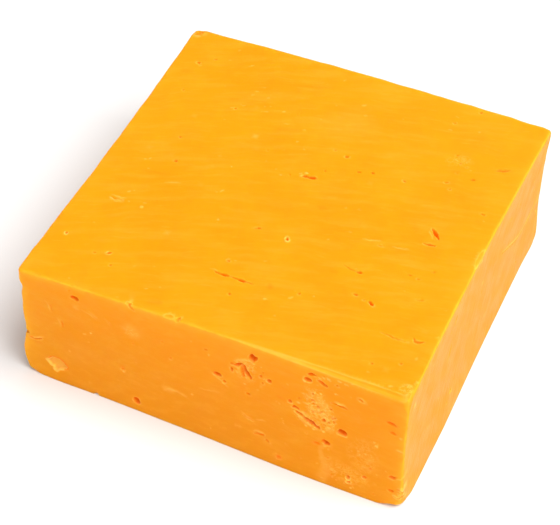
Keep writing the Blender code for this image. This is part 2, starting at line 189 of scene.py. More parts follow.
# Slits where curds part on each face: width, depth, how much of a pale lip, then the line
SLITS = {
    "front": [
        (0.9, 1.2, 0.4, [(6.8, 28.7), (7.8, 29.4), (8.7, 30.2)]),
        (1.3, 1.6, 0.5, [(8.7, 30.2), (9.3, 28.7), (9.8, 27.5), (10.9, 26.0)]),
        (1.0, 0.6, 0.2, [(8.7, 29.8), (8.6, 28.1), (8.9, 25.8)]),
        (0.8, 1.2, 0.8, [(22.4, 20.5), (23.6, 20.3), (24.7, 19.7)]),
        (1.3, 2.0, 0.7, [(24.4, 19.9), (25.8, 19.0), (27.4, 18.3), (28.8, 17.4)]),
        (0.9, 1.1, 0.5, [(25.1, 34.3), (26.2, 34.8), (27.0, 34.7)]),
        (1.0, 1.4, 0.4, [(27.7, 33.6), (28.8, 33.0), (29.8, 32.4)]),
        (0.7, 0.9, 0.5, [(21.6, 21.6), (22.4, 21.9), (23.4, 21.6)]),
        (0.5, 0.7, 0.3, [(31.4, 27.6), (33.4, 27.5), (35.3, 27.3)]),
        (0.4, 0.5, 0.4, [(9.2, 13.0), (10.6, 12.2), (12.1, 12.0)]),
        (0.5, 0.6, 0.3, [(12.2, 8.0), (13.6, 8.3), (14.9, 8.5)]),
        (0.6, 0.6, 0.8, [(47.9, 4.6), (49.2, 4.0), (50.2, 5.0), (49.8, 6.6), (48.6, 7.0)]),
        (0.6, 0.8, 0.4, [(-48.6, 13.0), (-47.0, 12.7), (-45.4, 13.6)]),
        (0.6, 0.8, 0.4, [(-20.5, 37.2), (-20.0, 36.3), (-19.2, 35.8)]),
        (0.35, 0.3, 0.2, [(-42.3, 28.4), (-42.0, 26.8), (-41.8, 25.4)]),
        (0.35, 0.3, 0.2, [(-39.4, 23.2), (-39.2, 21.8), (-39.3, 20.6)]),
        (0.35, 0.3, 0.1, [(-31.2, 29.3), (-30.0, 28.5), (-28.9, 28.0)]),
        (0.35, 0.3, 0.1, [(-27.0, 29.0), (-26.2, 28.2), (-25.6, 27.2)]),
    ],
    "top": [
        (0.5, 0.6, 0.1, [(-6.9, -31.4), (-5.4, -31.7), (-3.9, -31.7)]),
        (0.9, 1.1, 0.1, [(-5.4, -31.7), (-4.2, -31.7), (-3.0, -31.6)]),
        (0.4, 0.6, 0.1, [(-3.4, -31.6), (-1.6, -31.5), (0.3, -31.7), (2.2, -31.6), (3.4, -31.8)]),
        (0.9, 1.1, 0.1, [(-0.6, -31.6), (0.4, -31.7), (1.3, -31.7)]),
        (0.8, 1.1, 0.2, [(35.5, 3.0), (36.9, 1.8), (38.1, 0.3)]),
        (0.6, 0.8, 0.2, [(35.4, -2.5), (37.0, -2.3), (38.4, -2.0)]),
        (0.35, 0.4, 0.0, [(20.3, -17.0), (22.8, -17.7), (24.7, -17.8)]),
        (0.7, 0.6, 0.2, [(44.2, -31.4), (45.0, -32.3), (46.8, -31.6)]),
        (0.4, 0.3, 0.2, [(36.5, -32.9), (39.8, -33.2), (43.3, -33.1)]),
        (0.6, 0.4, 0.1, [(42.6, 28.4), (44.2, 29.2), (45.8, 30.2)]),
        (0.4, 0.4, 0.5, [(-41.3, -18.5), (-39.6, -18.7), (-37.9, -18.5)]),
    ],
    "right": [
        (0.5, 0.5, 0.2, [(46.6, 15.9), (43.2, 15.0), (40.0, 14.4), (36.7, 14.3)]),
        (0.45, 0.5, 0.2, [(36.9, 14.3), (33.4, 14.7), (30.0, 15.6), (26.0, 17.5), (17.6, 21.9)]),
    ],
    "back": [
        (1.0, 1.4, 0.5, [(-22.0, 17.0), (-20.4, 16.6), (-18.7, 16.9), (-17.0, 16.0)]),
        (0.9, 1.2, 0.5, [(24.0, 21.0), (25.2, 20.0), (26.8, 19.7), (28.1, 18.6)]),
    ],
    "left": [
        (1.0, 1.2, 0.5, [(-14.0, 20.0), (-12.6, 19.5), (-11.0, 19.7), (-9.4, 18.8)]),
    ],
}

# Thin raised threads of curd on each face: width, height, how pale, then the line
RIDGES = {
    "front": [
        (0.5, 0.15, 0.5, [(-33.5, 29.8), (-31.6, 29.2), (-29.4, 28.0)]),
        (0.5, 0.15, 0.5, [(-31.4, 30.2), (-30.2, 29.3), (-29.0, 28.4)]),
        (0.5, 0.12, 0.4, [(-27.4, 29.3), (-26.4, 28.4), (-25.9, 27.4)]),
        (0.5, 0.15, 0.5, [(-43.2, 28.8), (-42.5, 27.4), (-42.3, 25.4)]),
        (0.7, 0.12, 0.4, [(-40.3, 23.6), (-39.8, 22.2), (-39.9, 20.6)]),
        (0.8, 0.15, 0.6, [(-11.9, 11.2), (-9.9, 12.5), (-6.0, 11.9)]),
        (0.5, 0.10, 0.4, [(-2.4, 16.4), (0.0, 16.9), (2.8, 17.4)]),
        (0.6, 0.20, 0.8, [(-48.4, 12.6), (-46.9, 13.4), (-45.0, 14.6)]),
        (0.5, 0.20, 0.8, [(47.9, 10.2), (49.0, 10.6), (50.2, 11.4)]),
        (0.6, 0.20, 0.9, [(47.8, 19.8), (48.6, 19.9), (49.5, 19.5)]),
        (0.6, 0.20, 0.8, [(22.4, 21.3), (24.6, 21.0), (26.6, 20.2)]),
        (0.6, 0.20, 0.8, [(23.0, 19.2), (25.0, 18.2), (26.9, 17.3)]),
        (0.6, 0.20, 0.8, [(32.1, 28.4), (34.0, 28.4), (35.0, 27.9)]),
        (0.7, 0.22, 0.9, [(6.7, 30.4), (8.6, 31.5), (10.6, 32.0), (11.8, 31.7)]),
        (0.5, 0.18, 0.7, [(1.4, 22.6), (3.0, 22.0), (4.0, 20.9), (4.9, 20.3)]),
        (0.5, 0.15, 0.7, [(8.6, 13.6), (9.9, 12.9), (11.2, 12.6)]),
        (0.5, 0.12, 0.5, [(12.4, 12.6), (13.6, 13.2), (15.0, 13.3)]),
        (0.5, 0.15, 0.7, [(12.0, 8.6), (12.9, 9.2), (14.6, 9.2)]),
        (0.5, 0.18, 0.8, [(24.4, 33.6), (24.0, 32.4), (24.6, 31.4)]),
        (0.5, 0.15, 0.6, [(37.4, 32.5), (38.4, 32.7), (39.8, 31.4)]),
        (0.5, 0.15, 0.7, [(29.2, 1.9), (30.0, 1.8), (31.0, 1.9)]),
    ],
    "top": [
        (0.4, 0.10, 0.6, [(21.5, -7.3), (23.4, -7.0), (25.4, -6.2)]),
        (0.4, 0.10, 0.6, [(29.0, -6.7), (31.0, -6.5), (32.8, -6.0)]),
        (0.4, 0.12, 0.7, [(35.2, 2.0), (35.9, 0.9), (36.9, -0.2)]),
        (0.4, 0.10, 0.7, [(-41.2, -17.8), (-39.4, -17.9), (-37.6, -17.7)]),
        (0.4, 0.10, 0.7, [(-41.1, -19.4), (-39.4, -19.5), (-37.6, -19.2)]),
        (0.4, 0.08, 0.5, [(-31.2, -8.8), (-29.2, -8.0), (-27.6, -7.6)]),
        (0.35, 0.08, 0.4, [(-8.2, -31.2), (-7.2, -31.0), (-5.9, -31.2)]),
    ],
    "right": [
        (0.5, 0.15, 0.7, [(46.6, 16.5), (43.2, 15.7), (40.0, 15.1), (36.7, 15.0)]),
        (0.45, 0.15, 0.7, [(36.9, 15.0), (33.4, 15.4), (30.0, 16.3), (26.0, 18.2), (17.6, 22.6)]),
    ],
}

# Pale crumbs of curd on each face: place across and up, half length, half width, turn in
# degrees, and how pale
CRUMBS = {
    "front": [
        (-35.2, 30.3, 0.9, 0.7, 0, 0.3), (-33.3, 21.0, 0.45, 0.3, 10, 0.7),
        (-31.4, 22.2, 0.4, 0.3, 10, 0.9), (-22.7, 12.6, 0.4, 0.3, 0, 0.7),
        (-18.3, 23.5, 0.3, 0.25, 0, 0.3), (-9.9, 22.9, 0.35, 0.25, 0, 0.4),
        (-4.4, 13.3, 0.4, 0.3, 0, 0.5), (0.0, 28.9, 0.3, 0.5, 30, 0.5),
        (10.7, 33.4, 0.35, 0.3, 0, 0.8), (7.4, 26.6, 0.5, 0.6, 0, 0.5),
        (10.1, 22.2, 0.45, 0.3, 0, 0.3), (12.7, 23.0, 0.35, 0.3, 0, 0.4),
        (8.1, 8.4, 0.8, 0.5, 0, 0.3), (19.5, 15.7, 0.25, 0.2, 0, 0.4),
        (30.3, 35.2, 0.5, 0.35, 0, 0.6), (28.1, 34.4, 0.45, 0.3, 0, 0.6),
        (26.9, 29.0, 0.6, 0.4, -10, 0.8), (24.2, 27.4, 0.5, 0.35, 0, 0.5),
        (32.9, 35.7, 0.5, 0.3, -10, 0.6), (34.6, 35.4, 0.5, 0.3, -10, 0.5),
        (35.9, 36.4, 0.5, 0.3, 10, 0.5), (23.2, 23.8, 0.5, 0.35, 0, 0.7),
        (25.2, 26.0, 0.35, 0.3, 0, 0.5), (25.5, 24.6, 0.35, 0.3, 0, 0.5),
        (30.8, 21.6, 0.45, 0.4, 0, 0.8), (31.0, 18.9, 0.5, 0.4, 0, 0.7),
        (32.2, 18.8, 0.4, 0.3, 0, 0.5), (29.3, 22.7, 0.45, 0.35, 0, 0.7),
        (27.6, 22.2, 0.45, 0.35, 0, 0.7), (25.2, 17.0, 0.5, 0.35, -30, 0.7),
        (27.2, 16.8, 0.45, 0.35, -30, 0.7), (30.2, 12.3, 0.5, 0.3, 0, 0.6),
        (32.2, 5.7, 0.5, 0.5, 0, 0.5), (43.0, 18.6, 0.5, 0.4, 0, 0.8),
        (42.4, 19.6, 0.35, 0.3, 0, 0.6), (40.3, 14.7, 0.35, 0.35, 0, 0.6),
        (37.2, 2.0, 0.35, 0.25, 0, 0.7), (48.6, 24.0, 0.35, 0.45, 0, 0.6),
        (49.2, 5.4, 0.6, 0.6, 0, 0.4), (49.8, 7.6, 0.4, 0.5, 0, 0.6),
        (33.2, 28.1, 0.7, 0.35, 0, 0.7),
    ],
    "top": [
        (-29.9, 40.3, 0.7, 0.25, 45, 0.6), (-42.5, 35.0, 0.5, 0.25, 20, 0.5),
        (-27.9, 22.9, 0.5, 0.3, 20, 0.7), (-25.4, 24.8, 0.45, 0.25, 40, 0.5),
        (-30.7, 19.6, 0.4, 0.25, 20, 0.3), (-24.3, 31.3, 0.5, 0.25, 20, 0.5),
        (-20.7, 30.2, 0.45, 0.25, 20, 0.4), (-23.3, 33.4, 0.4, 0.2, 20, 0.4),
        (-19.2, 25.0, 0.9, 0.2, 20, 0.5), (-14.8, 26.9, 0.5, 0.25, 15, 0.7),
        (-18.8, 27.4, 0.3, 0.2, 0, 0.4), (-14.1, 30.3, 0.5, 0.2, 20, 0.3),
        (-12.2, 22.8, 0.7, 0.2, 20, 0.4), (-17.6, 15.2, 0.35, 0.3, 0, 0.8),
        (-7.1, 17.6, 0.35, 0.25, 30, 0.6), (-4.4, 15.8, 0.35, 0.25, 0, 0.4),
        (-5.2, 44.5, 0.4, 0.3, 0, 0.5), (3.1, 37.4, 0.55, 0.4, 30, 0.6),
        (4.9, 33.9, 0.5, 0.35, 20, 0.4), (-4.9, 28.0, 0.35, 0.25, 0, 0.4),
        (-27.6, 18.2, 0.25, 0.2, 0, 0.5), (-18.5, 2.7, 0.3, 0.3, 0, 0.9),
        (-7.9, 6.4, 0.5, 0.2, 20, 0.4), (-6.0, 4.9, 0.4, 0.3, 20, 0.5),
        (-23.9, 0.2, 0.4, 0.2, 20, 0.3), (-35.1, 16.5, 0.7, 0.2, 20, 0.3),
        (-0.3, 8.0, 0.4, 0.35, 0, 1.0), (-1.6, 7.3, 0.4, 0.35, 60, 0.6),
        (14.2, 36.6, 0.3, 0.2, 0, 0.5), (26.7, 37.9, 0.5, 0.25, 20, 0.5),
        (33.8, 40.1, 0.35, 0.3, 0, 0.6), (32.3, 27.8, 0.45, 0.35, 40, 0.5),
        (26.6, 43.1, 0.6, 0.2, -20, 0.4), (46.0, 10.5, 0.3, 0.25, 0, 0.6),
        (-39.7, -3.1, 0.4, 0.25, 10, 0.6), (-38.6, -2.4, 0.35, 0.25, 30, 0.6),
        (-37.4, -6.0, 0.4, 0.25, 30, 0.5), (-22.9, -6.4, 0.35, 0.3, 0, 0.8),
        (-38.1, -15.3, 0.5, 0.25, 45, 0.7), (-37.0, -14.4, 0.3, 0.2, 20, 0.4),
        (-32.7, -19.0, 0.5, 0.3, 30, 0.9), (-32.6, -17.4, 0.4, 0.2, 10, 0.5),
        (-36.4, -18.4, 0.3, 0.25, 0, 0.6), (-24.9, -37.6, 0.5, 0.2, 30, 0.4),
        (-19.0, -43.0, 0.45, 0.25, 10, 0.6), (-37.2, -46.9, 0.3, 0.25, 0, 0.4),
        (-13.5, -15.7, 0.35, 0.3, 0, 0.7), (-22.9, -24.5, 0.35, 0.25, 0, 0.4),
        (-17.1, -6.1, 0.5, 0.25, 45, 0.7), (-18.0, -7.0, 0.35, 0.2, 45, 0.5),
        (13.5, 0.6, 0.35, 0.3, 0, 0.4), (13.9, -11.0, 0.35, 0.3, 0, 0.5),
        (8.0, -5.2, 0.3, 0.25, 0, 0.3), (2.8, -23.7, 0.4, 0.2, 20, 0.4),
        (-5.4, -26.4, 0.4, 0.2, 20, 0.4), (-3.7, -26.5, 0.4, 0.2, 20, 0.4),
        (13.3, -29.7, 0.25, 0.2, 0, 0.5), (13.2, -31.9, 0.6, 0.3, 40, 0.6),
        (18.0, -29.4, 0.3, 0.3, 0, 0.6), (7.9, -34.9, 0.45, 0.25, 10, 0.8),
        (17.5, -6.6, 0.7, 0.2, 15, 0.4), (31.9, -26.9, 0.35, 0.25, 0, 0.5),
        (23.8, -17.2, 0.4, 0.2, 20, 0.4), (46.9, -37.0, 0.45, 0.3, 60, 0.5),
        (49.2, -29.0, 0.4, 0.5, 0, 0.5), (43.2, -24.9, 0.3, 0.2, 0, 0.3),
        (44.2, -46.8, 0.6, 0.35, 20, 0.7), (48.1, -45.2, 0.6, 0.4, 30, 0.6),
        (48.6, -47.8, 0.6, 0.4, 60, 0.7), (46.8, -47.9, 0.5, 0.3, 0, 0.7),
        (49.3, -43.4, 0.35, 0.7, 0, 0.6), (38.2, -45.2, 0.4, 0.3, 0, 0.4),
    ],
    "right": [
        (45.9, 11.9, 0.3, 0.5, 0, 0.9), (-20.8, 14.6, 0.35, 0.3, 0, 0.6),
        (-44.9, 31.9, 0.3, 0.35, 0, 0.9), (-1.0, 36.1, 0.6, 0.4, 60, 0.7),
        (-2.4, 35.4, 0.4, 0.3, 60, 0.5), (40.2, 27.1, 0.35, 0.3, 0, 0.5),
        (41.8, 22.9, 0.35, 0.4, 0, 0.5), (-25.9, 14.1, 0.3, 0.3, 0, 0.4),
    ],
}

# Small marks strewn over part of a face: face, middle across and up, half sizes, turn in
# degrees, how many crumbs and how many pits, and how strongly they show
STREWN = [
    ("front", 28.8, 24.0, 3.8, 8.5, 22, 16, 10, 0.8),
    ("front", 30.0, 7.5, 1.6, 7.0, 0, 8, 1, 0.4),
    ("front", 30.5, 33.5, 6.0, 2.8, 0, 8, 2, 0.6),
    ("front", 10.0, 27.5, 5.0, 5.5, 0, 10, 5, 0.5),
    ("front", 41.0, 14.0, 5.0, 7.0, 0, 8, 2, 0.4),
    ("front", 37.0, 5.0, 9.0, 3.5, 0, 10, 2, 0.4),
    ("front", 0.0, 19.0, 49.0, 17.5, 0, 36, 8, 0.3),
    ("top", 0.0, 0.0, 49.0, 48.0, 0, 60, 14, 0.3),
    ("top", -25.0, 18.0, 22.0, 26.0, 0, 16, 2, 0.3),
    ("top", 33.5, 27.0, 5.0, 3.5, 20, 6, 4, 0.3),
    ("right", 0.0, 18.5, 48.0, 18.0, 0, 24, 8, 0.4),
    ("back", 6.0, 20.0, 12.0, 9.0, 30, 18, 10, 0.7),
    ("back", 0.0, 18.5, 49.0, 17.5, 0, 30, 10, 0.4),
    ("left", -6.0, 22.0, 10.0, 7.0, 10, 14, 8, 0.7),
    ("left", 0.0, 18.5, 48.0, 17.5, 0, 30, 10, 0.4),
]
STREWN_SEED = 7
CRUMB_SIZES = (0.18, 0.42)
PIT_SIZES = (0.2, 0.42)

# Soft patches of another tone, on each face: place across and up, half sizes, turn in degrees,
# which mark and how strong
PATCHES = {
    "front": [
        (-20.5, 27.9, 2.3, 2.2, 0, "pale", 0.30),
        (-10.5, 12.0, 1.8, 1.0, 0, "pale", 0.30),
        (-34.5, 12.0, 6.0, 4.0, 20, "pale", 0.05),
        (28.9, 25.2, 1.6, 2.6, 10, "pale", 0.40),
        (29.6, 21.6, 1.6, 2.2, 10, "pale", 0.30),
        (29.9, 7.5, 1.2, 6.0, 0, "pale", 0.30),
        (28.0, 12.3, 1.0, 0.7, 0, "stain_and_shadow", 0.45),
        (18.8, 23.1, 1.3, 0.4, -15, "stain_and_shadow", 0.40),
        (18.9, 3.2, 0.9, 0.8, 0, "stain_and_shadow", 0.35),
        (46.4, 27.9, 1.5, 0.6, -12, "stain_and_shadow", 0.55),
        (46.9, 24.9, 1.0, 0.5, -12, "stain_and_shadow", 0.45),
        (-23.2, 14.0, 0.9, 0.5, 20, "stain_and_shadow", 0.35),
        (-46.6, 11.8, 1.2, 0.5, 0, "stain_and_shadow", 0.30),
    ],
    "top": [
        (2.0, 29.0, 7.0, 4.5, 20, "pale", 0.10),
        (7.4, -30.9, 0.7, 1.0, 20, "stain_and_shadow", 0.40),
        (8.2, -1.5, 1.4, 0.7, 10, "stain_and_shadow", 0.35),
        (33.5, 24.0, 1.1, 0.5, 20, "stain_and_shadow", 0.40),
        (38.6, 23.0, 0.9, 0.5, 20, "stain_and_shadow", 0.35),
        (44.3, 29.2, 2.2, 0.6, 20, "stain_and_shadow", 0.40),
        (19.3, -20.0, 1.0, 0.5, 10, "stain_and_shadow", 0.25),
        (13.1, -8.6, 1.1, 0.6, 0, "stain_and_shadow", 0.15),
        (-10.9, 20.9, 3.0, 0.8, 15, "stain_and_shadow", 0.22),
        (-28.5, 25.9, 1.6, 0.8, 20, "stain_and_shadow", 0.22),
        (-11.0, 39.2, 4.0, 0.6, 18, "stain_and_shadow", 0.20),
        (-44.7, 31.6, 1.6, 0.8, 20, "stain_and_shadow", 0.20),
        (-43.4, 37.0, 1.0, 0.8, 20, "stain_and_shadow", 0.20),
        (-33.2, -37.4, 1.6, 0.8, 20, "stain_and_shadow", 0.20),
        (-14.6, -45.9, 1.2, 0.5, 20, "stain_and_shadow", 0.30),
        (-10.2, -45.6, 1.6, 0.4, 20, "stain_and_shadow", 0.25),
        (-35.0, -6.5, 3.2, 0.4, 12, "stain_and_shadow", 0.22),
    ],
}

# Crumbly areas where the cut tore small curds: face, middle across and up, half sizes, turn in
# degrees, and how high the grain stands, in mm
ROUGH_AREAS = [
    ("front", 28.6, 24.0, 4.0, 8.0, 22, 0.16),
    ("front", 26.0, 19.2, 5.0, 2.4, -15, 0.18),
    ("front", 9.5, 28.5, 4.0, 5.0, 10, 0.12),
    ("front", -20.5, 28.0, 2.4, 2.0, 0, 0.10),
    ("front", 40.0, 14.0, 5.0, 7.0, 0, 0.07),
    ("front", 36.0, 6.0, 8.0, 3.5, 0, 0.07),
    ("top", 33.5, 28.0, 4.0, 2.5, 20, 0.06),
    ("top", 48.2, -46.2, 2.0, 2.8, 40, 0.12),
    ("back", 5.0, 20.0, 8.0, 6.0, 30, 0.12),
    ("left", -5.0, 22.0, 6.0, 5.0, 10, 0.10),
]
ROUGH_CELL = 1.15

# Chips out of the edges and a corner: middle, half sizes and turn about Z, in mm and degrees
EDGE_CHIPS = [
    ((-10.2, -49.0, 37.8), (1.6, 0.9, 0.8), 0),
    ((-8.1, -49.0, 37.6), (0.45, 1.3, 0.9), -25),
    ((-20.5, -49.0, 37.7), (0.8, 0.8, 0.8), 0),
    ((49.9, -1.8, 37.8), (0.9, 3.2, 0.9), 0),
    ((-50.0, -48.6, 14.2), (2.8, 1.0, 0.7), 40),
    ((-49.0, 48.4, 37.6), (1.6, 2.4, 0.7), 20),
    ((-30.6, -49.0, 0.4), (0.8, 0.7, 0.6), 0),
]

# Corners that are blunter than the edges: corner by its sides, and its radius in mm
BLUNT_CORNERS = {
    (1, -1, -1): 2.4,
    (-1, -1, -1): 1.6,
    (1, 1, -1): 1.6,
    (-1, 1, -1): 1.8,
    (-1, -1, 1): 1.0,
    (1, -1, 1): 1.8,
    (-1, 1, 1): 1.2,
    (1, 1, 1): 1.0,
}

# The shallow flake that came off low on the front, its outline in mm on the face
FLAKE_OUTLINE = [
    (-44.2, 6.5), (-42.7, 8.1), (-40.8, 8.4), (-39.4, 7.5), (-38.3, 6.4), (-38.5, 5.7),
    (-40.6, 4.5), (-41.4, 3.6), (-42.1, 4.1), (-42.2, 5.1), (-43.1, 5.3),
]
FLAKE_DEPTH = 0.5
FLAKE_RIM = 0.3

# The edge between the top and the front is shaved flat towards its right end
SHAVE_START = -2.0
SHAVE_LEG = 1.35
SHAVE_SOFTNESS = 0.1

# Where an edge swells or shrinks: middle, half sizes and push, all in mm
EDGE_SWELLS = [
    ((-50.0, -49.0, 35.4), (2.2, 2.2, 1.4), (0.15, 0.0, 0.0)),
    ((-50.0, -49.0, 31.0), (2.2, 2.2, 1.8), (0.45, 0.1, 0.0)),
    ((-50.0, -49.0, 21.5), (2.5, 3.0, 3.5), (-0.4, 0.0, 0.0)),
    ((-50.0, -49.0, 8.0), (3.0, 3.0, 4.0), (-0.7, -0.15, 0.0)),
    ((-42.0, -49.0, 0.0), (8.0, 3.0, 6.0), (0.0, -0.3, 0.0)),
    ((24.0, -49.0, 0.0), (20.0, 4.0, 8.0), (0.0, -0.45, 0.0)),
    ((50.0, -22.0, 0.0), (4.0, 18.0, 8.0), (0.35, 0.0, 0.0)),
    ((50.0, 46.0, 0.0), (4.0, 6.0, 8.0), (0.25, 0.0, 0.0)),
    ((5.0, 49.0, 37.4), (60.0, 4.0, 8.0), (0.0, 0.35, 0.0)),
]


def lattice_noise(points, cell, seed):
    """Smooth random values between -1 and 1 at points in mm, with features about a cell wide."""
    scaled = points / cell + seed * 0.37
    low = np.floor(scaled).astype(np.int64)
    t = scaled - low
    t = t * t * (3 - 2 * t)
    total = np.zeros(len(points))
    for corner in itertools.product((0, 1), repeat=3):
        weight = np.prod(np.where(corner, t, 1 - t), axis=1)
        x, y, z = (low + corner).T
        bits = (x * 73856093) ^ (y * 19349663) ^ (z * 83492791) ^ (seed * 40503)
        bits = (bits ^ (bits >> 13)) * 1274126177 & 0xFFFFFFFF
        bits = (bits ^ (bits >> 16)) * 2246822519 & 0xFFFFFFFF
        total += weight * ((bits & 0xFFFF) / 32767.5 - 1)
    return total


def cloud_noise(points, cell, seed, octaves=3):
    total = np.zeros(len(points))
    for octave in range(octaves):
        total += lattice_noise(points, cell / 2 ** octave, seed + 17 * octave) / 2 ** octave
    return total


def hump(t):
    """0 at both ends of a side and 1 at its middle."""
    return 4 * t * (1 - t)


def ease(t):
    """From 0 to 1 as t goes from 0 to 1, level at both ends."""
    t = np.clip(t, 0, 1)
    return t * t * (3 - 2 * t)


def to_face(face, points):
    """Distances across the face, up it and out from it."""
    origin, right, up, out = FACES[face]
    offset = points - origin
    return offset @ right, offset @ up, offset @ out


def turned_ratio(across, up, half_across, half_up, turn):
    """1 on the rim of a turned ellipse, less inside it."""
    cos, sin = math.cos(math.radians(turn)), math.sin(math.radians(turn))
    along = (across * cos + up * sin) / half_across
    beside = (up * cos - across * sin) / half_up
    return np.hypot(along, beside)


def line_distance(across, up, line):
    """How far each place is from a line of points, and how far along it its nearest point is."""
    best = np.full(len(across), np.inf)
    best_along = np.zeros(len(across))
    steps = [math.dist(start, end) for start, end in zip(line, line[1:])]
    length = sum(steps)
    travelled = 0.0
    for start, end, step in zip(line, line[1:], steps):
        direction = (np.array(end) - start) / step
        offset = np.stack((across - start[0], up - start[1]), axis=1)
        along = np.clip(offset @ direction, 0, step)
        distance = np.linalg.norm(offset - along[:, None] * direction, axis=1)
        nearer = distance < best
        best[nearer] = distance[nearer]
        best_along[nearer] = (travelled + along[nearer]) / length
        travelled += step
    return best, best_along


def smooth_line(points, steps=4):
    """Points along a smooth curve through the given ones, which bends like a Catmull-Rom spline."""
    points = [np.array(p, dtype=float) for p in points]
    ends = [points[0]] + points + [points[-1]]
    line = []
    for before, start, end, after in zip(ends, ends[1:], ends[2:], ends[3:]):
        for step in range(steps):
            t = step / steps
            line.append(
                0.5 * (
                    2 * start
                    + (end - before) * t
                    + (2 * before - 5 * start + 4 * end - after) * t ** 2
                    + (3 * start - before - 3 * end + after) * t ** 3
                )
            )
    return [tuple(p) for p in line] + [tuple(points[-1])]


def strew_marks():
    """Adds the strewn crumbs and pits to the lists of each face."""
    random = np.random.default_rng(STREWN_SEED)
    for face, x, y, half_across, half_up, turn, crumbs, pits, strength in STREWN:
        cos, sin = math.cos(math.radians(turn)), math.sin(math.radians(turn))
        for number in range(crumbs + pits):
            radius = math.sqrt(random.uniform(0, 1))
            angle = random.uniform(0, 2 * math.pi)
            along = half_across * radius * math.cos(angle)
            beside = half_up * radius * math.sin(angle)
            if max(half_across, half_up) > 0.9 * min(HALF[:2]):
                along, beside = random.uniform(-1, 1, 2) * (half_across, half_up)
            place = (x + along * cos - beside * sin, y + along * sin + beside * cos)
            lean = random.uniform(5, 40) if face == "top" else random.uniform(-60, 60)
            shown = strength * random.uniform(0.4, 1.3)
            if number < crumbs:
                long, short = sorted(random.uniform(*CRUMB_SIZES, 2), reverse=True)
                CRUMBS.setdefault(face, []).append((*place, long, short, lean, min(shown, 1.0)))
            else:
                long, short = sorted(random.uniform(*PIT_SIZES, 2), reverse=True)
                PITS.setdefault(face, []).append((*place, long, short, 1.1 * short, lean, shown * 0.6))


def places_inside(across, up, x, y, half_across, half_up, turn):
    """Which places lie inside a turned ellipse."""
    reach = max(half_across, half_up)
    near = np.flatnonzero((np.abs(across - x) < reach) & (np.abs(up - y) < reach))
    ratio = turned_ratio(across[near] - x, up[near] - y, half_across, half_up, turn)
    return near[ratio < 1]


def places_along(across, up, line, reach):
    """Which places lie within reach of a line."""
    (low_x, low_y), (high_x, high_y) = np.min(line, axis=0) - reach, np.max(line, axis=0) + reach
    near = np.flatnonzero((across > low_x) & (across < high_x) & (up > low_y) & (up < high_y))
    distance, _ = line_distance(across[near], up[near], line)
    return near[distance < reach]


def want_finer(wanted, where, side):
    wanted[where] = np.minimum(wanted[where], side)


def want_marks(face, across, up, wanted):
    """Asks for finer triangles at the marks of a face."""
    for x, y, half_across, half_up, turn, _, shown in PATCHES.get(face, ()):
        if shown > 0.15:
            here = places_inside(across, up, x, y, half_across * 1.3, half_up * 1.3, turn)
            want_finer(wanted, here, SOFT_DETAIL)
    for name, x, y, half_across, half_up, turn, height in ROUGH_AREAS:
        if name == face and height > 0.08:
            want_finer(wanted, places_inside(across, up, x, y, half_across, half_up, turn), ROUGH_DETAIL)
    for x, y, half_across, half_up, _, turn, _ in PITS.get(face, ()):
        here = places_inside(across, up, x, y, half_across + 0.4, half_up + 0.4, turn)
        want_finer(wanted, here, MARK_DETAIL)
    for x, y, half_long, half_short, turn, shown in CRUMBS.get(face, ()):
        if shown > 0.3:
            here = places_inside(across, up, x, y, half_long + 0.2, half_short + 0.2, turn)
            want_finer(wanted, here, MARK_DETAIL)
    for width, *_, line in SLITS.get(face, []) + RIDGES.get(face, []):
        want_finer(wanted, places_along(across, up, line, width * 0.8 + 0.2), MARK_DETAIL)
    if face == "front":
        rim = FLAKE_OUTLINE + FLAKE_OUTLINE[:1]
        want_finer(wanted, places_along(across, up, rim, 0.6), MARK_DETAIL)


def wanted_side(points):
    """The longest triangle side wanted at points on the plain box."""
    wanted = np.full(len(points), max(FACE_DETAIL.values()))
    for face, detail in FACE_DETAIL.items():
        _, _, out = to_face(face, points)
        wanted[out > -0.01] = detail
    gaps = HALF - np.abs(points - MIDDLE)
    at_edge = np.sort(gaps, axis=1)[:, 1] < EDGE_STRIP
    want_finer(wanted, at_edge & (points[:, 2] > 0.01), EDGE_DETAIL)
    at_front = points[:, 1] < EDGE_STRIP - HALF[1]
    at_right = points[:, 0] > HALF[0] - EDGE_STRIP
    want_finer(wanted, at_edge & (at_front | at_right) & (points[:, 2] > EDGE_STRIP), SHOWN_EDGE_DETAIL)
    for face in FACES:
        across, up, out = to_face(face, points)
        here = np.flatnonzero(out > -1.2)
        face_wanted = wanted[here]
        want_marks(face, across[here], up[here], face_wanted)
        wanted[here] = face_wanted
    return wanted


def coarse_box():
    """The plain box as triangles about FIRST_CELL long."""
    bm = bmesh.new()
    bmesh.ops.create_cube(bm, size=1.0, matrix=Matrix.Diagonal((*SIZE, 1)))
    bmesh.ops.translate(bm, verts=bm.verts, vec=Vector(MIDDLE))
    for axis in range(3):
        edges = [e for e in bm.edges if abs((e.verts[0].co - e.verts[1].co)[axis]) > 1e-4]
        cuts = round(SIZE[axis] / FIRST_CELL) - 1
        bmesh.ops.subdivide_edges(bm, edges=edges, cuts=cuts, use_grid_fill=True)
    bmesh.ops.triangulate(bm, faces=bm.faces)
    points = np.array([vert.co for vert in bm.verts])
    triangles = np.array([[vert.index for vert in face.verts] for face in bm.faces])
    bm.free()
    return points, triangles


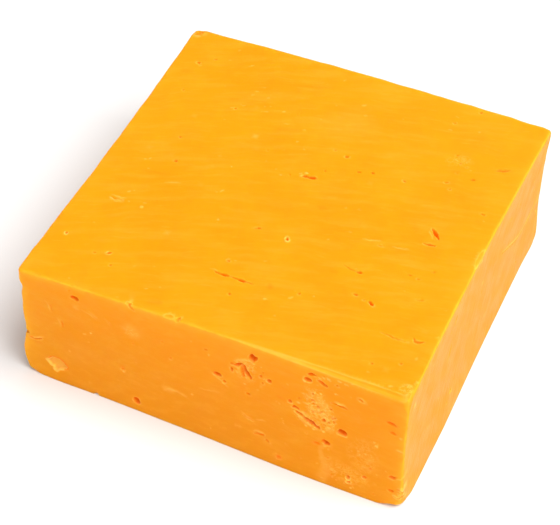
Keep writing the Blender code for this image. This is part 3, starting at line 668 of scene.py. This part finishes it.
def refine_once(points, triangles):
    """Halves each side that is too long, with the neighbours' longest sides where needed."""
    corners = points[triangles]
    lengths = np.linalg.norm(corners[:, (1, 2, 0)] - corners, axis=2)
    longest = lengths.argmax(axis=1)
    coarse = lengths.max(axis=1) > MARK_DETAIL
    coarse[coarse] = lengths[coarse].max(axis=1) > wanted_side(corners[coarse].mean(axis=1))
    ends = np.sort(np.stack((triangles, triangles[:, (1, 2, 0)]), axis=2), axis=2)
    sides, side_of = np.unique(ends[..., 0] * len(points) + ends[..., 1], return_inverse=True)
    side_of = side_of.reshape(triangles.shape)
    halved = np.zeros(len(sides), dtype=bool)
    halved[side_of[coarse, longest[coarse]]] = True
    while True:
        touched = halved[side_of].any(axis=1)
        needed = side_of[touched, longest[touched]]
        if halved[needed].all():
            break
        halved[needed] = True
    middles = np.full(len(sides), -1)
    middles[halved] = len(points) + np.arange(halved.sum())
    start, end = np.divmod(sides[halved], len(points))
    order = (longest[:, None] + np.arange(3)) % 3
    turned = np.take_along_axis(triangles, order, axis=1)
    side_middles = middles[np.take_along_axis(side_of, order, axis=1)]
    split = side_middles[:, 0] >= 0
    pieces = [turned[~split]]
    first, second, third = turned[split].T
    middle, middle_second, middle_third = side_middles[split].T
    for corner_a, corner_b, extra in ((third, first, middle_third), (second, third, middle_second)):
        whole = extra < 0
        pieces.append(np.stack((middle, corner_a, corner_b), axis=1)[whole])
        pieces.append(np.stack((middle, corner_a, extra), axis=1)[~whole])
        pieces.append(np.stack((middle, extra, corner_b), axis=1)[~whole])
    return np.concatenate((points, (points[start] + points[end]) / 2)), np.concatenate(pieces)


def fine_box():
    points, triangles = coarse_box()
    for _ in range(REFINING_PASSES):
        count = len(triangles)
        points, triangles = refine_once(points, triangles)
        if len(triangles) == count:
            break
    return points, triangles


class Skin:
    """The surface while it is worked: its points in mm, and how strongly each mark shows."""

    def __init__(self, points):
        radius = BOTTOM_RADIUS + (EDGE_RADIUS - BOTTOM_RADIUS) * ease(points[:, 2] / 4.0)
        radius *= 1 + EDGE_UNEVEN * cloud_noise(points, 5.0, 1)
        for sides, corner_radius in BLUNT_CORNERS.items():
            distance = np.linalg.norm(points - MIDDLE - HALF * sides, axis=1)
            radius += (corner_radius - radius) * ease(1.4 - 0.5 * distance / corner_radius)
        radius = radius[:, None]
        offset = points - MIDDLE
        inner = np.clip(offset, radius - HALF, HALF - radius)
        outward = offset - inner
        self.plain = points.copy()
        self.normals = outward / np.linalg.norm(outward, axis=1)[:, None]
        self.points = MIDDLE + inner + self.normals * radius
        names = ("hollow", "pale", "stain_and_shadow", "rim", "crumbly")
        # The hollow mark holds painted shade and the rim mark painted glow; the pale mark is pale curd
        # with some painted highlights, and the stain mark holds smears and one painted shadow beside the
        # flake.
        self.marks = {name: np.zeros(len(points)) for name in names}

    def near(self, face, across, up, reach):
        """The points on or just behind a face, within reach of a place on it."""
        a, b, c = to_face(face, self.plain)
        return np.flatnonzero((np.abs(a - across) < reach) & (np.abs(b - up) < reach) & (c > -3))

    def mark(self, name, where, amount):
        self.marks[name][where] = np.maximum(self.marks[name][where], np.clip(amount, 0, 1))

    def press(self, face, where, floor):
        """Brings what stands above the floor down to it."""
        _, _, level = to_face(face, self.points[where])
        sink = np.minimum(floor - level, 0) * (floor < 0)
        self.points[where] += sink[:, None] * FACES[face][3]

    def raise_by(self, face, where, height):
        _, _, level = to_face(face, self.plain[where])
        height = height * np.exp(level / 0.4)
        self.points[where] += height[:, None] * FACES[face][3]


LIP_HEIGHT = 0.2


def wobbled(face, points, amount, cell, seed):
    """Places across and up a face, shifted at random so that outlines come out ragged."""
    across, up, _ = to_face(face, points)
    return (
        across + amount * cloud_noise(points, cell, seed, 2),
        up + amount * cloud_noise(points, cell, seed + 5, 2),
    )


def torn_lip(skin, face, where, outside, lip, lower):
    """Raises a broken pale lip just outside an opening, stronger along its lower side, where its paleness
    is partly a painted highlight.
    """
    ring = np.exp(-((outside - 0.12) / 0.2) ** 2)
    broken = 0.9 * lattice_noise(skin.plain[where], 0.7, 9)
    # The lip is pale curd; its extra strength along the lower side is painted highlight where light from
    # above falls.
    shown = lip * ring * np.clip(0.55 + 0.4 * lower + broken, 0, 1.2)
    skin.raise_by(face, where, LIP_HEIGHT * shown)
    skin.mark("pale", where, shown)


def carve_pit(skin, face, across, up, half_across, half_up, depth, turn, lip):
    small = min(half_across, half_up)
    where = skin.near(face, across, up, 2 * max(half_across, half_up) + 0.5)
    a, b = wobbled(face, skin.plain[where], 0.3 * small + 0.05, 0.5 + small, 3)
    ratio = turned_ratio(a - across, b - up, half_across, half_up, turn)
    skin.press(face, where, -depth * np.clip(1 - ratio ** 2, 0, None) ** 0.5)
    lower = np.clip((up - b) / half_up, -1, 1)
    torn_lip(skin, face, where, (ratio - 1) * small, lip, lower)
    # Painted shade in the opening, deeper towards its upper side where the lip shades it; it goes into the
    # hollow mark.
    painted_shade = ease(2.6 - 2.2 * ratio) * min(depth / 0.8, 1) * (0.85 - 0.25 * lower)
    skin.mark("hollow", where, painted_shade)


def carve_slit(skin, face, width, depth, lip, line):
    line = smooth_line(line)
    middle = np.mean(line, axis=0)
    reach = max(math.dist(p, middle) for p in line) + 2 * width
    where = skin.near(face, *middle, reach)
    a, b = wobbled(face, skin.plain[where], 0.16, 0.7, 23)
    distance, along = line_distance(a, b, line)
    half_width = width / 2 * (0.4 + 0.6 * hump(along))
    ratio = distance / half_width
    skin.press(face, where, -depth * half_width / width * 2 * np.clip(1 - ratio ** 2, 0, None) ** 0.5)
    start, end = np.array(line[0]), np.array(line[-1])
    below = start[1] + (a - start[0]) * (end[1] - start[1]) / (end[0] - start[0]) - b
    lower = np.clip(below / width, -1, 1)
    torn_lip(skin, face, where, distance - half_width, lip, lower)
    # Painted shade in the slit, deeper towards its upper side.
    painted_shade = ease(2.6 - 2.2 * ratio) * min(depth / 0.8, 1) * (0.85 - 0.25 * lower)
    skin.mark("hollow", where, painted_shade)


def raise_ridge(skin, face, width, height, shown, line):
    line = smooth_line(line)
    middle = np.mean(line, axis=0)
    reach = max(math.dist(p, middle) for p in line) + 2 * width
    where = skin.near(face, *middle, reach)
    a, b = wobbled(face, skin.plain[where], 0.15, 0.8, 31)
    distance, along = line_distance(a, b, line)
    lean = 0.75 + 0.25 * lattice_noise(skin.plain[where], 0.8, 37)
    rise = np.exp(-(distance / (width / 2)) ** 2) * (0.4 + 0.6 * hump(along)) * lean
    skin.raise_by(face, where, height * rise)
    skin.mark("pale", where, rise * shown)


def raise_crumb(skin, face, across, up, half_long, half_short, turn, shown):
    where = skin.near(face, across, up, 2 * half_long + 0.2)
    a, b = wobbled(face, skin.plain[where], 0.5 * half_short, 0.6, 41)
    ragged = 0.4 * lattice_noise(skin.plain[where], 0.45, 43)
    rise = ease(1.4 + ragged - turned_ratio(a - across, b - up, half_long, half_short, turn))
    skin.raise_by(face, where, 0.4 * half_short * rise * shown)
    skin.mark("pale", where, rise * shown * (0.6 if face == "top" else 1.0))


def lay_patch(skin, face, across, up, half_across, half_up, turn, name, shown):
    where = skin.near(face, across, up, 1.6 * max(half_across, half_up) + 0.5)
    a, b = wobbled(face, skin.plain[where], 0.25 * half_up, 0.7 * half_up, 45)
    share = ease(1.5 - turned_ratio(a - across, b - up, half_across, half_up, turn))
    flat = share * (0.8 + 0.3 * lattice_noise(skin.plain[where], 0.8, 47))
    skin.mark(name, where, flat * shown)


def roughen(skin, face, across, up, half_across, half_up, turn, height):
    where = skin.near(face, across, up, max(half_across, half_up) * 1.2)
    a, b = wobbled(face, skin.plain[where], 0.8, 3.0, 51)
    ratio = turned_ratio(a - across, b - up, half_across, half_up, turn)
    share = ease(2.0 - 2.0 * ratio)
    threads = 1 - 2.2 * np.abs(lattice_noise(skin.plain[where], ROUGH_CELL, 52))
    lumps = lattice_noise(skin.plain[where], ROUGH_CELL / 2, 53)
    grain = 0.6 * threads + 0.5 * lumps
    skin.raise_by(face, where, height * share * grain)
    strength = min(height / 0.16, 1)
    skin.mark("crumbly", where, share * strength)
    skin.mark("pale", where, share * np.clip(grain - 0.15, 0, 1) * strength * 0.9)
    # Painted shade in the dips between the grains.
    skin.mark("hollow", where, share * np.clip(-grain - 0.4, 0, 1) * strength * 0.5)


def inside_outline(across, up, outline):
    inside = np.zeros(len(across), dtype=bool)
    for (x0, y0), (x1, y1) in zip(outline, outline[1:] + outline[:1]):
        crosses = (y0 > up) != (y1 > up)
        rise = y1 - y0 if y1 != y0 else 1e-9
        inside ^= crosses & (across < x0 + (up - y0) * (x1 - x0) / rise)
    return inside


def carve_flake(skin):
    middle = np.mean(FLAKE_OUTLINE, axis=0)
    where = skin.near("front", *middle, 4.5)
    a, b = wobbled("front", skin.plain[where], 0.12, 0.8, 61)
    distance, _ = line_distance(a, b, FLAKE_OUTLINE + FLAKE_OUTLINE[:1])
    inside = inside_outline(a, b, FLAKE_OUTLINE)
    grain = 0.1 * lattice_noise(skin.plain[where], 0.8, 62)
    floor = np.where(inside, -(FLAKE_DEPTH + grain) * ease(distance / FLAKE_RIM), 0)
    skin.press("front", where, floor)
    skin.mark("pale", where, inside * (0.5 + grain))
    # The rim on the lower-left side, which faces the light, is raised and painted pale as a highlight.
    lit_side = (a - middle[0]) * 0.5 + (b - middle[1]) < 0.9
    rim = np.exp(-((distance - 0.05) / 0.3) ** 2)
    skin.raise_by("front", where, 0.15 * rim * ~inside * lit_side)
    skin.mark("pale", where, rim * np.where(lit_side, 0.95, 0.0))
    # Painted shadow outside the flake along its upper side, carried in the stain mark.
    upper_side = (a - middle[0]) * 0.45 + (b - middle[1]) > 0.2
    shadow = np.exp(-((distance - 0.1) / 0.32) ** 2) * upper_side * ~inside
    skin.mark("stain_and_shadow", where, shadow * 0.9)


def chip_edge(skin, middle, half_sizes, turn):
    """Moves what lies inside a turned ball straight towards the block's middle, to its surface."""
    middle = np.array(middle)
    cos, sin = math.cos(math.radians(turn)), math.sin(math.radians(turn))
    axes = np.array(((cos, sin, 0), (-sin, cos, 0), (0, 0, 1)))
    where = np.flatnonzero(np.linalg.norm(skin.plain - middle, axis=1) < max(half_sizes) * 1.5)
    warp = [cloud_noise(skin.plain[where], 1.0, seed, 2) for seed in (71, 72, 73)]
    shifted = skin.points[where] - middle + 0.25 * min(half_sizes) * np.stack(warp, axis=1)
    offset = shifted @ axes.T / half_sizes
    inward = MIDDLE - middle
    inward[:2] *= np.abs(inward[:2]) > 0.9 * HALF[:2]
    inward = inward / np.linalg.norm(inward) @ axes.T / half_sizes
    along = offset @ inward
    square = inward @ inward
    rest = (offset ** 2).sum(axis=1) - 1
    root = np.sqrt(np.clip(along ** 2 - square * rest, 0, None))
    step = np.where(rest < 0, (root - along) / square, 0)
    skin.points[where] += step[:, None] * ((inward * half_sizes) @ axes)
    # Painted shade in the chip, as deep as the chip.
    skin.mark("hollow", where, step * 0.5)
    skin.mark("pale", where, np.exp(-((rest - 0.3) / 0.3) ** 2) * 0.5)


def shave_edge(skin):
    """Cuts the top front edge to a flat that widens to the right, with painted highlight lines along its
    borders and a faint painted glow on the flat.
    """
    outward = np.array((0.0, -1.0, 1.0)) / math.sqrt(2)
    from_edge = (skin.points - np.array((0.0, -HALF[1], SIZE[2]))) @ outward
    share = np.clip((skin.points[:, 0] - SHAVE_START) / (HALF[0] - SHAVE_START), 0, 1)
    uneven = 0.05 * cloud_noise(skin.plain, 4.0, 81) * ease(share * 5)
    flat = -share * SHAVE_LEG / math.sqrt(2) + uneven
    over = from_edge - flat
    excess = (over + np.hypot(over, SHAVE_SOFTNESS)) / 2 * ease(share * 20)
    skin.points -= excess[:, None] * outward
    at_edge = (skin.plain[:, 2] > SIZE[2] - 3) & (skin.plain[:, 1] < 3 - HALF[1])
    # Painted highlight lines along both borders of the flat.
    line = np.exp(-((over - 0.05) / 0.14) ** 2) * ease(share * 3) * at_edge
    skin.mark("pale", slice(None), line * 0.4)
    # A faint painted glow on the flat.
    skin.mark("rim", slice(None), 0.1 * ease((over - 0.05) / 0.2) * ease(share * 3) * at_edge)


def swell_edges(skin):
    """The edges stand in and out a little along their length."""
    for middle, half_sizes, push in EDGE_SWELLS:
        share = np.exp(-(((skin.plain - middle) / half_sizes) ** 2).sum(axis=1))
        skin.points += share[:, None] * np.array(push)


def hand_cut(points):
    """Where points of the true box lie on the block as it was cut."""
    u, v = (points[:, :2] / SIZE[:2] + 0.5).T
    w = points[:, 2] / SIZE[2]
    moved = points.copy()
    for (side_x, side_y, side_z), stray in CORNER_STRAY.items():
        share_x = u if side_x > 0 else 1 - u
        share_y = v if side_y > 0 else 1 - v
        share_z = w if side_z > 0 else 1 - w
        moved += (share_x * share_y * share_z)[:, None] * np.array(stray)
    bow = {
        face: hump(along) * (bottom + (top - bottom) * w) + hump(w) * hollow
        for (face, (top, bottom, hollow)), along in zip(FACE_BOW.items(), (u, v, u, v))
    }
    moved[:, 1] += v * bow["back"] - (1 - v) * bow["front"]
    moved[:, 0] += u * bow["right"] - (1 - u) * bow["left"]
    return moved


def centring():
    """Brings the middle of the block's box in X and Y to the origin."""
    steps = np.linspace(-0.5, 0.5, 21)
    rim = hand_cut(np.array([
        (u * SIZE[0], v * SIZE[1], z) for u in steps for v in steps for z in (0.0, SIZE[2])
    ]))
    middle = (rim.min(axis=0) + rim.max(axis=0)) / 2
    return np.array((-middle[0], -middle[1], 0.0))


def add_waviness(skin):
    """The soft unevenness of a hand-cut face."""
    upper = ease(skin.plain[:, 2] / 2.0)
    waves = 0.10 * cloud_noise(skin.plain, 14.0, 91) + 0.03 * cloud_noise(skin.plain, 2.4, 92)
    skin.points += (upper * waves)[:, None] * skin.normals


def glow_of_edges(skin):
    """How much light comes through near the top edges and the upright edges."""
    gaps = HALF - np.abs(skin.plain - MIDDLE)
    to_upright = np.maximum(gaps[:, 0], gaps[:, 1])
    above = SIZE[2] - skin.plain[:, 2]
    to_top = np.maximum(above, np.minimum(gaps[:, 0], gaps[:, 1]))
    distance = np.minimum(to_upright, to_top)
    uneven = 1 + 0.3 * lattice_noise(skin.plain, 3.0, 95) + 0.2 * lattice_noise(skin.plain, 1.1, 96)
    return np.clip((0.75 * np.exp(-distance / 0.9) + 0.25 * np.exp(-distance / 4.5)) * uneven, 0, 1)


def work_surface(skin):
    shave_edge(skin)
    for area in ROUGH_AREAS:
        roughen(skin, *area)
    for face in FACES:
        for patch in PATCHES.get(face, ()):
            lay_patch(skin, face, *patch)
        for ridge in RIDGES.get(face, ()):
            raise_ridge(skin, face, *ridge)
        for crumb in CRUMBS.get(face, ()):
            raise_crumb(skin, face, *crumb)
        for slit in SLITS.get(face, ()):
            carve_slit(skin, face, *slit)
        for pit in PITS.get(face, ()):
            carve_pit(skin, face, *pit)
    carve_flake(skin)
    for chip in EDGE_CHIPS:
        chip_edge(skin, *chip)
    swell_edges(skin)
    add_waviness(skin)


def make_cheese():
    strew_marks()
    points, triangles = fine_box()
    skin = Skin(points)
    work_surface(skin)
    places = (hand_cut(skin.points) + centring()) * MM
    mesh = bpy.data.meshes.new("cheese")
    mesh.from_pydata(places.tolist(), [], triangles.tolist())
    mesh.polygons.foreach_set("use_smooth", np.ones(len(triangles), dtype=bool))
    values = dict(skin.marks)
    values["glow"] = glow_of_edges(skin)
    values["on_top"] = np.clip(skin.normals[:, 2], 0, 1) ** 2
    values["on_right"] = np.clip(skin.normals[:, 0], 0, 1) ** 2
    for name, amounts in values.items():
        layer = mesh.attributes.new(name, "FLOAT", "POINT")
        layer.data.foreach_set("value", amounts.astype(np.float32))
    cheese = bpy.data.objects.new("cheese", mesh)
    bpy.context.scene.collection.objects.link(cheese)
    return cheese


def add_node(tree, kind, inputs=None, **settings):
    """A node with its settings, and each input set to a value or joined to another's output."""
    node = tree.nodes.new(kind)
    for name, value in settings.items():
        setattr(node, name, value)
    for key, value in (inputs or {}).items():
        if isinstance(value, bpy.types.NodeSocket):
            tree.links.new(value, node.inputs[key])
        else:
            node.inputs[key].default_value = value
    return node


def maths(tree, operation, first, second):
    return add_node(tree, "ShaderNodeMath", {0: first, 1: second}, operation=operation).outputs[0]


def times(tree, first, second):
    return maths(tree, "MULTIPLY", first, second)


def noise(tree, place, cell, detail=2.0, roughness=0.5):
    """Noise with features about one cell wide, the cell in metres, around 0.5."""
    inputs = {"Vector": place, "Scale": 1 / cell, "Detail": detail, "Roughness": roughness}
    return add_node(tree, "ShaderNodeTexNoise", inputs).outputs["Fac"]


def remap(tree, value, low, high, to_low=0.0, to_high=1.0):
    inputs = {"Value": value, "From Min": low, "From Max": high, "To Min": to_low, "To Max": to_high}
    return add_node(tree, "ShaderNodeMapRange", inputs, interpolation_type="SMOOTHSTEP").outputs["Result"]


def tint(tree, amount, under, over):
    """The colour under, turned by an amount into the colour over."""
    inputs = {0: amount, 6: under, 7: over}
    return add_node(tree, "ShaderNodeMix", inputs, data_type="RGBA").outputs[2]


def attribute(tree, name):
    return add_node(tree, "ShaderNodeAttribute", attribute_name=name).outputs["Fac"]


CHEESE = (0.78, 0.270, 0.0030, 1.0)
DEEPER = (0.76, 0.235, 0.0020, 1.0)
PALER = (0.80, 0.320, 0.0200, 1.0)
# A darker, redder copy of the cheese colour for the right face, painted shade against the key light, and
# its paler streaks, which are torn grain with a painted sheen.
RIGHT_SHADED = (0.74, 0.205, 0.0030, 1.0)
RIGHT_STREAK_AND_SHEEN = (0.80, 0.245, 0.0360, 1.0)
CURD_AND_HIGHLIGHT = (0.93, 0.470, 0.0850, 1.0)
# Painted shade colour for pits, slits, chips and dips.
HOLLOW_SHADE = (0.88, 0.155, 0.0010, 1.0)
# Reddish smears, and the painted shadow beside the flake.
STAIN_AND_SHADOW = (0.80, 0.165, 0.0015, 1.0)
# Painted glow where light comes through near the edges.
PAINTED_GLOW = (0.85, 0.395, 0.0220, 1.0)
# Painted light high and painted shade low on the upright faces.
UPPER_LIT = (0.82, 0.270, 0.0060, 1.0)
LOWER_SHADED = (0.70, 0.240, 0.0075, 1.0)

# How far the material's drag lines are drawn out, how they slope and bend across the top, per
# metre, and how they climb the right face
DRAG_STRETCH = 0.18
DRAG_SLOPE = 0.34
DRAG_BEND = 1.56
RIGHT_DRAG = (math.radians(-58), 0.0, 0.0)
RIGHT_STRETCH = (1.0, 0.12, 1.0)


def wandering(tree, place, cell, amount):
    """Places shifted at random by up to about an amount, in metres."""
    inputs = {"Vector": place, "Scale": 1 / cell, "Detail": 1.0}
    shift = add_node(tree, "ShaderNodeTexNoise", inputs).outputs["Color"]
    inputs = {0: shift, 1: (amount, amount, amount), 2: place}
    return add_node(tree, "ShaderNodeVectorMath", inputs, operation="MULTIPLY_ADD").outputs[0]


def dragged(tree, place):
    """Places drawn out along the curved lines that the cut left across the top."""
    x, y, z = add_node(tree, "ShaderNodeSeparateXYZ", {0: place}).outputs
    bend = add_node(tree, "ShaderNodeMath", {0: x, 1: DRAG_BEND, 2: -DRAG_SLOPE}, operation="MULTIPLY_ADD")
    across = add_node(tree, "ShaderNodeMath", {0: x, 1: bend.outputs[0], 2: y}, operation="MULTIPLY_ADD")
    parts = {0: times(tree, x, DRAG_STRETCH), 1: across.outputs[0], 2: z}
    return add_node(tree, "ShaderNodeCombineXYZ", parts).outputs[0]


def up_right_face(tree, place):
    turned = add_node(tree, "ShaderNodeMapping", {"Vector": place, "Rotation": RIGHT_DRAG}).outputs[0]
    return add_node(tree, "ShaderNodeMapping", {"Vector": turned, "Scale": RIGHT_STRETCH}).outputs[0]


def cheese_body(tree, place, drag):
    """The plain curd: deeper and paler areas, drag streaks and flecks, with painted light high and painted
    shade low on the upright faces.
    """
    height = add_node(tree, "ShaderNodeSeparateXYZ", {0: place}).outputs[2]
    # Upright faces painted lighter at the top and darker towards the bottom, as shade near the floor.
    upright = tint(tree, remap(tree, height, 0.002, 0.036), LOWER_SHADED, UPPER_LIT)
    upright_share = remap(tree, attribute(tree, "on_top"), 0.0, 1.0, 0.65, 0.0)
    mottle = remap(tree, noise(tree, place, 0.016, 4.0), 0.35, 0.68)
    colour = tint(tree, times(tree, mottle, 0.55), CHEESE, DEEPER)
    colour = tint(tree, upright_share, colour, upright)
    streaks = remap(tree, noise(tree, drag, 0.0026, 4.0, 0.65), 0.42, 0.72)
    colour = tint(tree, times(tree, streaks, 0.45), colour, PALER)
    flecks = remap(tree, noise(tree, drag, 0.0009, 2.0), 0.58, 0.80)
    return tint(tree, times(tree, flecks, 0.45), colour, PALER)


def cheese_colour(tree, place):
    drag = dragged(tree, wandering(tree, place, 0.012, 0.003))
    side_drag = up_right_face(tree, wandering(tree, place, 0.010, 0.002))
    # The right face: painted shade as a darker copy of the cheese, with streaks of torn grain and painted
    # sheen.
    side = tint(tree, remap(tree, noise(tree, side_drag, 0.0008, 3.0, 0.6), 0.35, 0.70), RIGHT_SHADED, RIGHT_STREAK_AND_SHEEN)
    on_right = attribute(tree, "on_right")
    colour = tint(tree, times(tree, on_right, 0.95), cheese_body(tree, place, drag), side)

    # Painted glow of light coming through near the edges, weaker on the top and the right face, and on the
    # shaved flat.
    turned_away = maths(tree, "MAXIMUM", attribute(tree, "on_top"), on_right)
    glow = times(tree, attribute(tree, "glow"), remap(tree, turned_away, 0.0, 1.0, 1.0, 0.3))
    colour = tint(tree, glow, colour, PAINTED_GLOW)
    colour = tint(tree, attribute(tree, "rim"), colour, PAINTED_GLOW)

    crumbly = attribute(tree, "crumbly")
    fine = noise(tree, wandering(tree, place, 0.0016, 0.0010), 0.0014, 2.0)
    off_middle = maths(tree, "ABSOLUTE", maths(tree, "SUBTRACT", fine, 0.5), 0.0)
    veins = remap(tree, off_middle, 0.0, 0.05, 1.0, 0.0)
    colour = tint(tree, times(tree, times(tree, veins, crumbly), 0.7), colour, CURD_AND_HIGHLIGHT)
    colour = tint(tree, attribute(tree, "pale"), colour, CURD_AND_HIGHLIGHT)
    colour = tint(tree, attribute(tree, "stain_and_shadow"), colour, STAIN_AND_SHADOW)
    # The hollow mark tints towards the painted shade colour.
    return tint(tree, attribute(tree, "hollow"), colour, HOLLOW_SHADE)


def cheese_relief(tree, place):
    fine = times(tree, noise(tree, place, 0.0006, 3.0, 0.6), 0.7)
    lines = times(tree, noise(tree, dragged(tree, place), 0.0010, 2.0), 0.8)
    side_lines = noise(tree, up_right_face(tree, place), 0.0007, 2.0)
    side_lines = times(tree, side_lines, times(tree, attribute(tree, "on_right"), 2.0))
    height = maths(tree, "ADD", maths(tree, "ADD", fine, lines), side_lines)
    bump = add_node(tree, "ShaderNodeBump", {"Height": height, "Strength": 0.45, "Distance": 0.0002})
    return bump.outputs["Normal"]


def make_cheese_material():
    material = bpy.data.materials.new("cheese")
    material.use_nodes = True
    tree = material.node_tree
    shader = tree.nodes["Principled BSDF"]
    place = add_node(tree, "ShaderNodeTexCoord").outputs["Object"]
    tree.links.new(cheese_colour(tree, place), shader.inputs["Base Color"])
    tree.links.new(cheese_relief(tree, place), shader.inputs["Normal"])
    gloss = remap(tree, noise(tree, place, 0.006, 2.0), 0.3, 0.7, 0.40, 0.55)
    tree.links.new(gloss, shader.inputs["Roughness"])
    shader.inputs["Specular IOR Level"].default_value = 0.045
    shader.inputs["Subsurface Weight"].default_value = 1.0
    shader.inputs["Subsurface Radius"].default_value = (1.0, 0.5, 0.15)
    shader.inputs["Subsurface Scale"].default_value = 0.0016
    return material


FLOOR_DROP = 0.02 * MM
FLOOR_COLOUR = (0.71, 0.71, 0.71, 1.0)


def make_floor():
    mesh = bpy.data.meshes.new("floor")
    bm = bmesh.new()
    bmesh.ops.create_grid(bm, x_segments=2, y_segments=2, size=2.0)
    bm.to_mesh(mesh)
    bm.free()
    floor = bpy.data.objects.new("floor", mesh)
    floor.location.z = -FLOOR_DROP
    material = bpy.data.materials.new("floor")
    material.use_nodes = True
    shader = material.node_tree.nodes["Principled BSDF"]
    shader.inputs["Base Color"].default_value = FLOOR_COLOUR
    shader.inputs["Roughness"].default_value = 0.9
    shader.inputs["Specular IOR Level"].default_value = 0.1
    mesh.materials.append(material)
    bpy.context.scene.collection.objects.link(floor)
    return floor


# The camera stands where the photograph's perspective puts it
CAMERA_PLACE = Vector((0.1221, -0.2876, 0.3415))
CAMERA_RIGHT = Vector((0.9124, 0.4092, 0.0104))
CAMERA_FORWARD = Vector((-0.2758, 0.6332, -0.7232))
CAMERA_LENS = 115.13


def make_camera():
    camera = bpy.data.objects.new("camera", bpy.data.cameras.new("camera"))
    camera.data.sensor_width = 36.0
    camera.data.sensor_fit = "HORIZONTAL"
    camera.data.lens = CAMERA_LENS
    camera.data.clip_start = 0.01
    back = -CAMERA_FORWARD.normalized()
    right = (CAMERA_RIGHT - back * CAMERA_RIGHT.dot(back)).normalized()
    up = back.cross(right)
    turn = Matrix((right, up, back)).transposed().to_4x4()
    camera.matrix_world = Matrix.Translation(CAMERA_PLACE) @ turn
    bpy.context.scene.collection.objects.link(camera)
    bpy.context.scene.camera = camera


# The studio: white all round but dimmer and warmer to the left, brighter in front, and a soft
# key light high on the right
SKY = 0.95
SKY_LEFT = 0.33
SKY_FRONT = 0.42
SKY_COLOUR = (1.0, 1.0, 1.0, 1.0)
SKY_LEFT_COLOUR = (1.0, 0.88, 0.78, 1.0)
KEY_DIRECTION = Vector((0.45, -0.08, 0.89)).normalized()
KEY_DISTANCE = 1.2
KEY_SIDE = 0.8
KEY_POWER = 17.5


def make_sky():
    world = bpy.data.worlds.new("studio")
    world.use_nodes = True
    tree = world.node_tree
    direction = add_node(tree, "ShaderNodeTexCoord").outputs["Generated"]
    x, y, _ = add_node(tree, "ShaderNodeSeparateXYZ", {0: direction}).outputs
    rightward = remap(tree, x, -0.75, 0.25)
    sideways = remap(tree, rightward, 0.0, 1.0, SKY_LEFT, SKY)
    strength = maths(tree, "ADD", sideways, remap(tree, y, -0.2, -0.9, 0.0, SKY_FRONT))
    background = tree.nodes["Background"]
    tree.links.new(tint(tree, rightward, SKY_LEFT_COLOUR, SKY_COLOUR), background.inputs["Color"])
    tree.links.new(strength, background.inputs["Strength"])
    bpy.context.scene.world = world


def make_lights():
    make_sky()
    key = bpy.data.objects.new("key", bpy.data.lights.new("key", "AREA"))
    key.data.shape = "SQUARE"
    key.data.size = KEY_SIDE
    key.data.energy = KEY_POWER
    key.location = KEY_DIRECTION * KEY_DISTANCE
    key.rotation_euler = KEY_DIRECTION.to_track_quat("Z", "Y").to_euler()
    bpy.context.scene.collection.objects.link(key)


make_camera()
make_lights()
make_floor()

cheese = make_cheese()
cheese.data.materials.append(make_cheese_material())
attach(cheese, "root")
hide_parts("cheese_block")

bpy.context.scene.view_settings.view_transform = "Standard"
